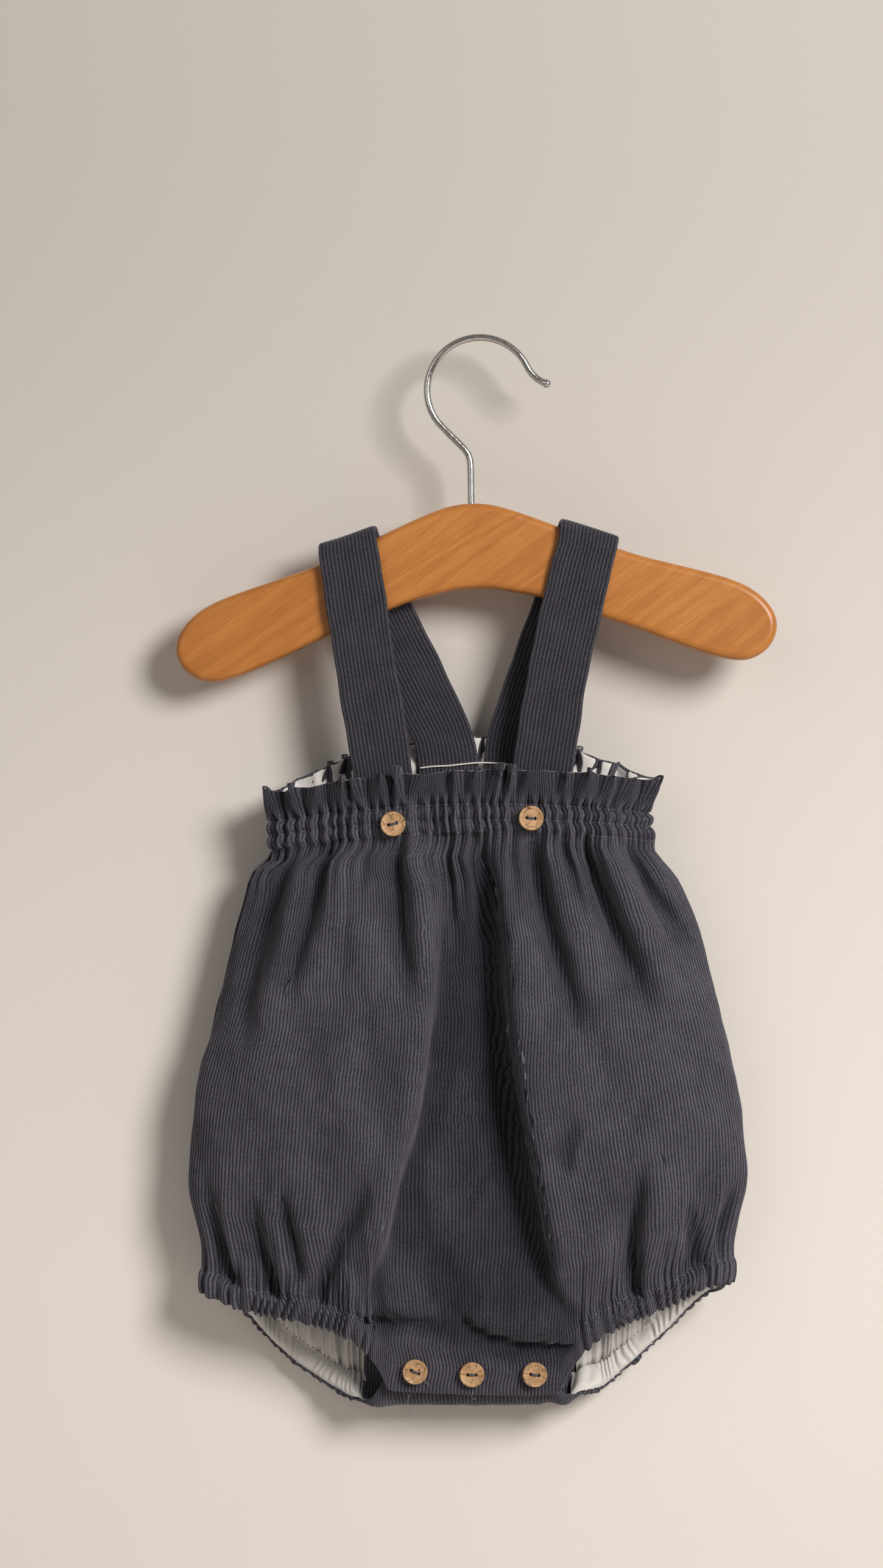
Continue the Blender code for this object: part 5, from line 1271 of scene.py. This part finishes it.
def button_piece(name, x, z, turn, material, thread):
    """Turned button with two holes and the thread that holds it."""
    profile = BUTTON_PROFILE
    steps = BUTTON_SIDES
    angle = np.linspace(0, 2 * math.pi, steps, endpoint=False)
    points = [(0.0, 0.0, profile[0][1])]
    for radius, height in profile[1:-1]:
        points += [(radius * math.cos(a), radius * math.sin(a), height) for a in angle]
    points.append((0.0, 0.0, profile[-1][1]))
    faces = []
    rings = len(profile) - 2
    for ring in range(rings - 1):
        for k in range(steps):
            a = 1 + ring * steps + k
            b = 1 + ring * steps + (k + 1) % steps
            faces.append((a, b, b + steps, a + steps))
    faces += [(0, 1 + (k + 1) % steps, 1 + k) for k in range(steps)]
    last = 1 + (rings - 1) * steps
    faces += [(last + k, last + (k + 1) % steps, len(points) - 1) for k in range(steps)]
    mesh = bpy.data.meshes.new(name + "_disc")
    mesh.from_pydata((np.array(points) * MM).tolist(), [], faces)
    disc = new_object(name + "_disc", mesh)
    cutters = []
    for side in (-1, 1):
        hole = bpy.data.meshes.new(name + "_hole")
        drill = bmesh.new()
        bmesh.ops.create_cone(drill, cap_ends=True, segments=24, radius1=BUTTON_HOLE_RADIUS * MM,
                              radius2=BUTTON_HOLE_RADIUS * MM, depth=8 * MM)
        drill.to_mesh(hole)
        drill.free()
        cutter = new_object(name + "_hole", hole)
        cutter.location = (side * BUTTON_HOLE_SPACING / 2 * MM, 0, MM)
        take = disc.modifiers.new("hole", "BOOLEAN")
        take.operation = "DIFFERENCE"
        take.solver = "EXACT"
        take.object = cutter
        cutters.append(cutter)
    solid = final_mesh(disc)
    for old in cutters + [disc]:
        bpy.data.objects.remove(old)
    solid.polygons.foreach_set("use_smooth", [True] * len(solid.polygons))
    for edge in solid.edges:
        edge.use_edge_sharp = False
    solid.materials.clear()
    solid.materials.append(material)
    piece = new_object(name + "_shell", solid)
    low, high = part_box(name)
    back = high.y
    spin = math.radians(turn)
    piece.location = (x * MM, back, z * MM)
    piece.rotation_euler = (math.radians(90), -spin, 0)
    sharp = piece.modifiers.new("edges", "EDGE_SPLIT")
    sharp.split_angle = math.radians(40)
    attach(piece, "root")
    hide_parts(name)
    way = np.array([math.cos(spin), 0.0, math.sin(spin)])
    up = np.array([-math.sin(spin), 0.0, math.cos(spin)])
    centre = np.array([x, back / MM - profile[-1][1], z])
    for offset in (-0.36, 0.0, 0.36):
        side = BUTTON_HOLE_SPACING / 2
        inner = side - BUTTON_HOLE_RADIUS * 0.45
        bow = [(-inner - 0.1, 2.2), (-inner, 0.4), (-inner + 0.35, -0.30),
               (0.0, -0.48 - 0.2 * (offset == 0)),
               (inner - 0.35, -0.30), (inner, 0.4), (inner + 0.1, 2.2)]
        line = [centre + way * along + up * offset + np.array([0.0, depth, 0.0])
                for along, depth in bow]
        thread.add(smooth_line(line, 4), 0.24)


def smooth_line(points, extra):
    """A smooth open line through the given points."""
    rows = [(float(k),) + tuple(point) for k, point in enumerate(points)]
    at = np.linspace(0, len(rows) - 1, (len(rows) - 1) * extra + 1)
    return np.stack([curve_through(rows, 0, k, at) for k in range(1, len(rows[0]))], axis=1)


class Look:
    """A node material, built step by step."""

    def __init__(self, name, **surface):
        self.material = bpy.data.materials.new(name)
        self.material.use_nodes = True
        self.tree = self.material.node_tree
        self.shader = self.tree.nodes["Principled BSDF"]
        for socket, value in surface.items():
            self.shader.inputs[socket.replace("_", " ")].default_value = value

    def node(self, kind, settings=None, **inputs):
        made = self.tree.nodes.new("ShaderNode" + kind)
        for key, value in (settings or {}).items():
            setattr(made, key, value)
        for key, value in inputs.items():
            numbered = key[0] == "i" and key[1:].isdigit()
            socket = made.inputs[int(key[1:]) if numbered else key]
            if isinstance(value, bpy.types.NodeSocket):
                self.tree.links.new(value, socket)
            else:
                socket.default_value = value
        return made

    def math(self, operation, first, second=0.0):
        """One sum of two values."""
        return self.node("Math", {"operation": operation}, i0=first, i1=second).outputs[0]

    def times(self, first, second):
        """First times second."""
        return self.math("MULTIPLY", first, second)

    def scaled(self, value, by, plus):
        """Value times one number or socket, plus another."""
        made = self.node("Math", {"operation": "MULTIPLY_ADD"}, i0=value, i1=by)
        self.feed(made.inputs[2], plus)
        return made.outputs[0]

    def ramp(self, share, low, middle_at, middle, high):
        """A colour ramp of three colours."""
        made = self.node("ValToRGB", None, Fac=share)
        stops = made.color_ramp.elements
        stops[0].color = low + (1.0,)
        stops[1].color = high + (1.0,)
        between = stops.new(middle_at)
        between.color = middle + (1.0,)
        return made.outputs[0]

    def step(self, value, low, high, to_low=0.0, to_high=1.0):
        """A smooth step between two values."""
        made = self.node("MapRange", {"interpolation_type": "SMOOTHSTEP"}, Value=value)
        limits = {"From Min": low, "From Max": high, "To Min": to_low, "To Max": to_high}
        for key, number in limits.items():
            made.inputs[key].default_value = number
        return made.outputs[0]

    def noise(self, vector, scale, detail=3.0, rough=0.55, warp=0.0):
        """Smooth noise at the scale given in turns a unit."""
        return self.node("TexNoise", None, Vector=vector, Scale=scale, Detail=detail,
                         Roughness=rough, Distortion=warp).outputs[0]

    def mix(self, share, first, second, blend="MIX"):
        made = self.tree.nodes.new("ShaderNodeMix")
        made.data_type = "RGBA"
        made.blend_type = blend
        self.feed(made.inputs["Factor"], share)
        colours = [s for s in made.inputs if s.type == "RGBA"]
        self.feed(colours[0], first)
        self.feed(colours[1], second)
        return [s for s in made.outputs if s.type == "RGBA"][0]

    def feed(self, socket, value):
        if isinstance(value, bpy.types.NodeSocket):
            self.tree.links.new(value, socket)
        elif socket.type == "RGBA":
            socket.default_value = tuple(value) + (1.0,)
        else:
            socket.default_value = value

    def combine(self, x, y, z=0.0):
        made = self.node("CombineXYZ", None, X=x, Y=y, Z=z)
        return made.outputs[0]

    def cloth(self):
        """Place across and along the cloth: wales or millimetres, then millimetres."""
        made = self.node("UVMap", {"uv_map": "cloth"})
        parts = self.node("SeparateXYZ", None, Vector=made.outputs[0])
        return parts.outputs[0], parts.outputs[1]

    def object_place(self, scale=1000.0):
        made = self.node("TexCoord")
        sized = self.node("VectorMath", {"operation": "SCALE"}, i0=made.outputs["Object"])
        sized.inputs["Scale"].default_value = scale
        return sized.outputs[0]

    def bump(self, height, strength, distance, normal=None):
        made = self.node("Bump", None, Height=height, Strength=strength, Distance=distance)
        if normal is not None:
            self.tree.links.new(normal, made.inputs["Normal"])
        return made.outputs[0]

    def link(self, value, socket):
        """Give the shader's socket a value."""
        self.feed(self.shader.inputs[socket], value)


def toned(colour, share):
    """A colour made darker by a share."""
    return tuple(part * share for part in colour)


def corduroy(name, tone, wale_mm):
    """Needlecord: dark grooves (painted shade), soft piled wales, slightly warm where the pile is
    worn, and painted shade where the wear values are below zero.
    """
    look = Look(name, Roughness=0.92, Specular_IOR_Level=0.12, Sheen_Weight=0.32,
                Sheen_Roughness=0.45, Sheen_Tint=(0.72, 0.70, 0.80, 1.0))
    across, along = look.cloth()
    rib = look.math("PINGPONG", across, 0.5)
    crest = look.step(rib, 0.03, 0.40)
    wide = look.times(across, wale_mm)
    place = look.combine(wide, look.times(along, 0.62))
    pile = look.noise(place, 2.3, 4.0, 0.75)
    tuft = look.noise(look.combine(wide, look.times(along, 0.7)), 1.05, 3.0, 0.7)
    patch = look.noise(look.combine(wide, along), 0.11, 3.0, 0.6)
    streak = look.combine(look.math("FLOOR", across), look.times(along, 0.06))
    streak = look.noise(streak, 0.9, 3.0)
    blotch = look.noise(look.combine(wide, along), 0.028, 3.0, 0.5, 0.6)
    height = look.scaled(pile, 0.9, look.times(tuft, 0.5))
    # Painted shade: low crest values, in the wale grooves, push the colour toward the darkest shade
    # of the ramp
    value = look.scaled(crest, 0.42, look.times(height, 1.60))
    value = look.scaled(patch, 0.30, value)
    value = look.scaled(streak, 0.12, value)
    value = look.scaled(blotch, 0.30, value)
    base = look.ramp(look.step(value, 1.10, 2.22), toned(DARK_PILE_AND_GROOVE_SHADE, tone), 0.45, toned(PILE, tone),
                     toned(PILE_TOP, tone))
    # The wear values: worn pile above zero, painted shade below zero
    shade_and_wear_mark = look.node("Attribute", {"attribute_name": "wear_and_painted_shade"}).outputs["Fac"]
    wear_and_shade = look.step(shade_and_wear_mark, 0.0, 1.0)
    frayed = look.step(look.noise(place, 1.3, 3.0, 0.7), 0.50, 0.68)
    share = look.times(look.scaled(wear_and_shade, 0.75, 0.20), look.times(frayed, crest))
    colour = look.mix(share, base, toned(WORN, tone))
    hue = look.noise(place, 0.75, 2.0, 0.6)
    colour = look.mix(look.step(hue, 0.42, 0.66, 0.0, 0.45), colour, WARM_CAST, "MULTIPLY")
    colour = look.mix(look.step(hue, 0.34, 0.56, 0.45, 0.0), colour, COOL_CAST, "MULTIPLY")
    # Painted shade: the colour is multiplied darker where the values are below zero
    colour = look.mix(look.step(shade_and_wear_mark, -1.0, 0.0, 1.0, 0.0), colour, PAINTED_SHADE, "MULTIPLY")
    look.link(colour, "Base Color")
    relief = look.math("ADD", height, look.times(crest, 0.25))
    look.link(look.bump(relief, 0.55, 0.00022), "Normal")
    return look.material


def cotton(name, colour):
    """Fine plain-woven white cotton."""
    look = Look(name, Roughness=0.88, Specular_IOR_Level=0.2, Sheen_Weight=0.12,
                Sheen_Roughness=0.5, Subsurface_Weight=0.12, Subsurface_Scale=0.0015)
    across, along = look.cloth()
    warp = look.math("SINE", look.times(across, 2 * math.pi / COTTON_YARN))
    weft = look.math("SINE", look.times(along, 2 * math.pi / COTTON_YARN))
    weave = look.times(warp, weft)
    slub = look.noise(look.combine(look.times(across, 0.15), along), 1.4, 3.0, 0.6)
    cloud = look.noise(look.combine(across, along), 0.05, 2.0)
    tone = look.scaled(slub, 0.35, look.times(cloud, 0.45))
    base = look.mix(look.step(tone, 0.2, 0.65), toned(colour, 0.86), colour)
    base = look.mix(look.step(weave, -1.0, 0.4, 0.25, 0.0), base, toned(colour, 0.62))
    look.link(base, "Base Color")
    relief = look.scaled(slub, 0.8, look.times(weave, 0.25))
    look.link(look.bump(relief, 0.35, 0.00012), "Normal")
    return look.material


def wood():
    """Honey-coloured wood with slanting grain, fine pores and a thin lacquer."""
    look = Look("honey_wood", Specular_IOR_Level=0.4, Coat_Weight=0.25, Coat_Roughness=0.28)
    place = look.object_place()
    turned = look.node("VectorRotate", {"rotation_type": "Y_AXIS"}, Vector=place, Angle=GRAIN_TURN)
    parts = look.node("SeparateXYZ", None, Vector=turned.outputs[0])
    x, y, z = parts.outputs
    long_way = look.combine(look.times(x, 0.075), look.times(y, 0.5), z)
    bend = look.noise(long_way, 0.055, 2.0, 0.5, 0.8)
    rings = look.math("SINE", look.scaled(z, 0.62, look.times(bend, 21.0)))
    fine = look.noise(look.combine(look.times(x, 0.05), y, z), 1.6, 5.0, 0.62)
    pores = look.noise(look.combine(look.times(x, 0.16), y, z), 3.4, 2.0, 0.5)
    cloud = look.noise(place, 0.016, 2.0, 0.5, 0.4)
    tone = look.scaled(fine, 0.65, look.times(cloud, 0.5))
    tone = look.scaled(rings, 0.08, tone)
    colour = look.ramp(look.step(tone, 0.22, 0.85), WOOD_DARK, 0.5, WOOD_MIDDLE, WOOD_LIGHT)
    colour = look.mix(look.step(pores, 0.60, 0.74, 0.0, 0.35), colour, WOOD_PORE)
    look.link(colour, "Base Color")
    look.link(look.step(fine, 0.2, 0.8, 0.34, 0.48), "Roughness")
    look.link(look.bump(look.scaled(pores, -0.5, fine), 0.12, 0.0002), "Normal")
    return look.material


def chrome():
    """Polished plated wire with faint drawing marks."""
    look = Look("plated_wire", Metallic=1.0)
    place = look.object_place()
    marks = look.noise(place, 0.9, 3.0, 0.5)
    colour = look.mix(look.step(marks, 0.35, 0.7), (0.50, 0.49, 0.48), (0.62, 0.61, 0.60))
    look.link(colour, "Base Color")
    look.link(look.step(marks, 0.3, 0.7, 0.10, 0.20), "Roughness")
    look.link(look.bump(look.noise(place, 3.0, 2.0), 0.05, 0.0001), "Normal")
    return look.material


def shell(name, seed):
    """Light brown coconut shell with dark cracks and flecks."""
    look = Look(name, Specular_IOR_Level=0.35)
    place = look.node("VectorMath", {"operation": "ADD"}, i0=look.object_place()).outputs[0]
    place.node.inputs[1].default_value = (7.3 * seed, 3.1 * seed, 1.7 * seed)
    drawn = look.node("VectorMath", {"operation": "MULTIPLY"}, i0=place)
    drawn.inputs[1].default_value = (0.35, 1.5, 1.0)
    fibre = look.noise(drawn.outputs[0], 0.9, 5.0, 0.65, 1.2)
    cloud = look.noise(place, 0.22, 3.0, 0.6)
    base = look.mix(look.step(cloud, 0.35, 0.65), SHELL_TAN, SHELL_LIGHT)
    base = look.mix(look.step(fibre, 0.52, 0.72, 0.0, 0.55), base, SHELL_BROWN)
    wander = look.noise(place, 0.45, 3.0, 0.6)
    cracks = look.node("TexVoronoi", {"feature": "DISTANCE_TO_EDGE"}, Scale=0.26)
    warped = look.node("VectorMath", {"operation": "ADD"}, i0=place)
    look.tree.links.new(wander.node.outputs[1], warped.inputs[1])
    look.tree.links.new(warped.outputs[0], cracks.inputs["Vector"])
    line = look.step(cracks.outputs[0], 0.0, 0.055, 1.0, 0.0)
    broken = look.step(look.noise(place, 0.30, 2.0), 0.47, 0.56)
    base = look.mix(look.times(line, broken), base, SHELL_DARK)
    look.link(base, "Base Color")
    look.link(look.step(fibre, 0.3, 0.7, 0.38, 0.6), "Roughness")
    look.link(look.bump(look.scaled(line, -0.6, fibre), 0.3, 0.0002), "Normal")
    return look.material


def thread_look(name, colour):
    """Twisted sewing thread."""
    look = Look(name, Roughness=0.8, Specular_IOR_Level=0.2, Sheen_Weight=0.2)
    place = look.object_place()
    twist = look.node("TexWave", {"bands_direction": "DIAGONAL"}, Vector=place, Scale=1.1,
                      Distortion=1.5)
    tone = look.mix(twist.outputs[1], toned(colour, 0.6), colour)
    look.link(tone, "Base Color")
    look.link(look.bump(twist.outputs[1], 0.4, 0.0001), "Normal")
    return look.material


def plain_stage(name, colour, one_sided):
    """A pale stage surface; a one-sided one lets everything through from behind and has painted
    light, lighter below and darker above.
    """
    look = Look(name, Roughness=0.95, Specular_IOR_Level=0.1)
    place = look.object_place()
    tone = look.mix(look.noise(place, 0.004, 2.0), toned(colour, 0.985), colour)
    if one_sided:
        height = look.node("SeparateXYZ", None, Vector=place).outputs["Y"]
        # Painted light: the backdrop is lighter low down and darker high up
        low, high = (toned(colour, share) for share in BACKDROP_PAINTED_FALLOFF)
        tone = look.mix(look.step(height, *BACKDROP_HEIGHTS), low, high)
    look.link(tone, "Base Color")
    if one_sided:
        behind = look.node("NewGeometry").outputs["Backfacing"]
        clear = look.node("BsdfTransparent").outputs[0]
        both = look.node("MixShader", None, i0=behind, i1=look.shader.outputs[0], i2=clear)
        look.tree.links.new(both.outputs[0], look.tree.nodes["Material Output"].inputs["Surface"])
    return look.material


def stage_plane(name, centre, size, turn, material):
    """A flat stage surface."""
    corners = [(x * size[0] / 2, y * size[1] / 2, 0)
               for x, y in ((-1, -1), (1, -1), (1, 1), (-1, 1))]
    mesh = bpy.data.meshes.new(name)
    mesh.from_pydata(corners, [], [(0, 1, 2, 3)])
    mesh.materials.append(material)
    plane = new_object(name, mesh)
    plane.location = centre
    plane.rotation_euler = turn
    return plane


def area_light(name, place, target, size, power, colour):
    """A soft round light that looks at a target."""
    lamp = bpy.data.lights.new(name, "AREA")
    lamp.shape = "DISK"
    lamp.size = size
    lamp.energy = power
    lamp.color = colour
    thing = new_object(name, lamp)
    thing.location = place
    thing.rotation_mode = "QUATERNION"
    thing.rotation_quaternion = (Vector(target) - Vector(place)).to_track_quat("-Z", "Y")


# Colours and sizes of the looks
# Darkest pile colour, which is also the painted shade in the wale grooves
DARK_PILE_AND_GROOVE_SHADE = (0.010, 0.0105, 0.015)
PILE = (0.031, 0.0308, 0.0405)
PILE_TOP = (0.099, 0.0975, 0.123)
WORN = (0.150, 0.145, 0.158)
WARM_CAST = (1.12, 0.98, 0.95)
PAINTED_SHADE = (0.42, 0.42, 0.44)
COOL_CAST = (0.88, 0.95, 1.06)
WOOD_DARK = (0.315, 0.106, 0.017)
WOOD_MIDDLE = (0.375, 0.136, 0.0235)
WOOD_LIGHT = (0.440, 0.175, 0.036)
WOOD_PORE = (0.30, 0.095, 0.020)
SHELL_TAN = (0.34, 0.195, 0.095)
SHELL_LIGHT = (0.47, 0.295, 0.155)
SHELL_BROWN = (0.22, 0.10, 0.045)
SHELL_DARK = (0.035, 0.016, 0.009)
WHITE = (0.65, 0.628, 0.612)
STAGE = (0.60, 0.57, 0.54)
STRAP_TONE = 0.60
STRAP_WALE_WIDTH = 1.81
COTTON_YARN = 0.42
GRAIN_TURN = math.radians(34)

# Painted light on the backdrop: how much lighter it is painted below and darker above, and the
# heights on it in millimetres between which it turns
BACKDROP_PAINTED_FALLOFF = (1.13, 0.74)
BACKDROP_HEIGHTS = (-343.0, 335.0)

# Lights: place, what it looks at, size, power, colour
CENTRE = (-0.018, 0.0, -0.215)
LIGHTS = (
    ("key", (1.02, -1.50, 0.46), (-0.018, 0.0, -0.30), 0.75, 44.0, (1.0, 0.955, 0.90)),
    ("fill", (-1.3, -1.9, 0.5), CENTRE, 1.8, 6, (1, 0.94, 0.87)),
    ("behind", (-0.6, 1.9, 0.5), CENTRE, 1.6, 26, (1, 0.98, 0.95)),
)
SKY = (0.86, 0.80, 0.75, 1.0)
SKY_STRENGTH = 0.25
CAMERA_PLACE = (-0.01829, -1.6, -0.21476)
CAMERA_LENS = 75.8

front = Cloth(front_point, -1.0, FRONT_GATHERS, FRONT_RUFFLE_WAVES, FRONT_SEED, FRONT_LEVELS,
              FRONT_PLEATS)
back = Cloth(back_point, 1.0, BACK_GATHERS, BACK_RUFFLE_WAVES, BACK_SEED, BACK_LEVELS, BACK_PLEATS)
front.pleat()
back.pleat()

# Painted shade on the middle panel of the front, darkest toward its right edge; it is kept below
# zero in the wear and shade values
front_x, front_z = front.base[..., 0], front.base[..., 2]
panel_left = curve_through(PANEL_EDGES, 0, 1, front_z)
panel_right = curve_through(PANEL_EDGES, 0, 2, front_z)
toward_right = ease(front_x, panel_left, panel_right)
shade_and_wear_mark = ease(front_x, panel_left - 2, panel_left + 7)
shade_and_wear_mark = shade_and_wear_mark * (1 - ease(front_x, panel_right + 1, panel_right + 9)) * (0.45 + 0.55 * toward_right)
shade_and_wear_mark = shade_and_wear_mark * ease(front.level, 3.0, 3.15) * (1 - 0.6 * ease(front.level, 3.85, 4.1))
front.wear_and_painted_shade = front.wear_and_painted_shade - 0.85 * shade_and_wear_mark
for cloth in (front, back):
    # The ruffle, down to just past the first stitch row, is made darker
    cloth.wear_and_painted_shade = cloth.wear_and_painted_shade - 0.6 * (1 - ease(cloth.level, 0.9, 1.5))
    # Painted shade on the pleat walls and where the cloth lies low
    cloth.wear_and_painted_shade = cloth.wear_and_painted_shade - 0.5 * cloth.steep - 0.35 * np.clip(-cloth.lift - 0.4, 0, 1)

# The cloth lies flat under each button
for name, x, z, turn in BUTTONS:
    away = np.hypot(front.base[..., 0] - x, front.base[..., 2] - z)
    near = 1 - ease(away, BUTTON_RADIUS - 1.0, BUTTON_RADIUS + 4.0)
    front.lift = front.lift - np.maximum(front.lift - 0.9, 0) * near
front.settle()
back.settle()

cord = corduroy("dark_needlecord", 1.0, FLAT_WIDTH / WALES)
strap_cord = corduroy("strap_needlecord", STRAP_TONE, STRAP_WALE_WIDTH)
white = cotton("white_cotton", WHITE)
front_piece = panel_piece("front_corduroy", front, "front_panel", [cord])
back_piece = panel_piece("back_corduroy", back, "back_panel", [cord, white])
front_lining = facing_piece("front_waist_cotton", front, "front_waist_facing", white)
back_lining = facing_piece("back_waist_cotton", back, "back_waist_facing", white)
legs = []
for side, reach, seed in zip(("left", "right"), LEG_LINING_REACH, (1.3, 2.9)):
    legs.append(leg_lining_piece("leg_cotton_" + side, back, "leg_lining_" + side, reach, seed,
                                 white))
straps = [strap_piece("strap_cord_left", STRAP_LEFT, "strap_left", strap_cord, 0.4),
          strap_piece("strap_cord_right", STRAP_RIGHT, "strap_right", strap_cord, 1.9)]
board_piece(wood())
hook_piece(chrome())

grey_thread = thread_look("grey_thread", (0.20, 0.21, 0.25))
pale_thread = thread_look("pale_thread", (0.72, 0.70, 0.64))
button_thread = Threads()
for number, (name, x, z, turn) in enumerate(BUTTONS):
    button_piece(name, x, z, turn, shell("coconut_" + name, number + 1.0), button_thread)
button_thread.done("button_threads", thread_look("button_thread", (0.075, 0.080, 0.105)))

for cloth, name in ((front, "front"), (back, "back")):
    sewn = Threads()
    face = cloth.surface(WALE_HEIGHT * 0.5, False)
    for row in STITCH_ROWS:
        index = int(np.argmin(abs(np.array(cloth.levels) - row)))
        sewn.row(face[index][8:-8], cloth.out[index][8:-8], *STITCH)
    index = int(np.argmin(abs(np.array(cloth.levels) - CASING)))
    use = cloth.in_leg[index] > 0.5
    for half in (use & (cloth.part < 0.5), use & (cloth.part > 0.5)):
        sewn.row(face[index][half][6:-2], cloth.out[index][half][6:-2], *STITCH)
    sewn.done("stitches_" + name, grey_thread)

lining_stitches = Threads()
for piece, free, level in legs:
    index = int(np.argmin(abs(level[:, 0] - CASING)))
    line = free[index][4:-4]
    inward = np.zeros_like(line)
    inward[:, 1] = -1.0
    lining_stitches.row(line, inward, *LINING_STITCH)
lining_stitches.done("stitches_leg_lining", thread_look("dark_thread", (0.04, 0.045, 0.06)))

white_line = Threads()
white_line.add(smooth_line(BACK_STITCH_LINE, 8), 0.42, 8)
white_line.done("white_back_stitching", pale_thread)

ends = Threads()
for line in LOOSE_THREADS:
    ends.add(smooth_line(line, 6), 0.13, 5)
ends.done("loose_threads", grey_thread)

backdrop = stage_plane("backdrop", (0, 0.029, -0.2), (3.2, 2.4), (math.radians(90), 0, 0),
                       plain_stage("backdrop_paint", STAGE, True))
backdrop.visible_shadow = False
stage_plane("floor", (0, 0, -1.0), (8, 8), (0, 0, 0), plain_stage("floor_paint", STAGE, False))

for light in LIGHTS:
    area_light(*light)

world = bpy.data.worlds.new("studio")
world.use_nodes = True
world.node_tree.nodes["Background"].inputs["Color"].default_value = SKY
world.node_tree.nodes["Background"].inputs["Strength"].default_value = SKY_STRENGTH
bpy.context.scene.world = world
bpy.context.scene.view_settings.view_transform = "Standard"

camera = bpy.data.cameras.new("camera")
camera.lens = CAMERA_LENS
camera.sensor_width = 36.0
camera.clip_start = 0.05
camera.clip_end = 30.0
viewer = new_object("camera", camera)
viewer.location = CAMERA_PLACE
viewer.rotation_euler = (math.radians(90), 0, 0)
bpy.context.scene.camera = viewer

bpy.context.view_layer.update()
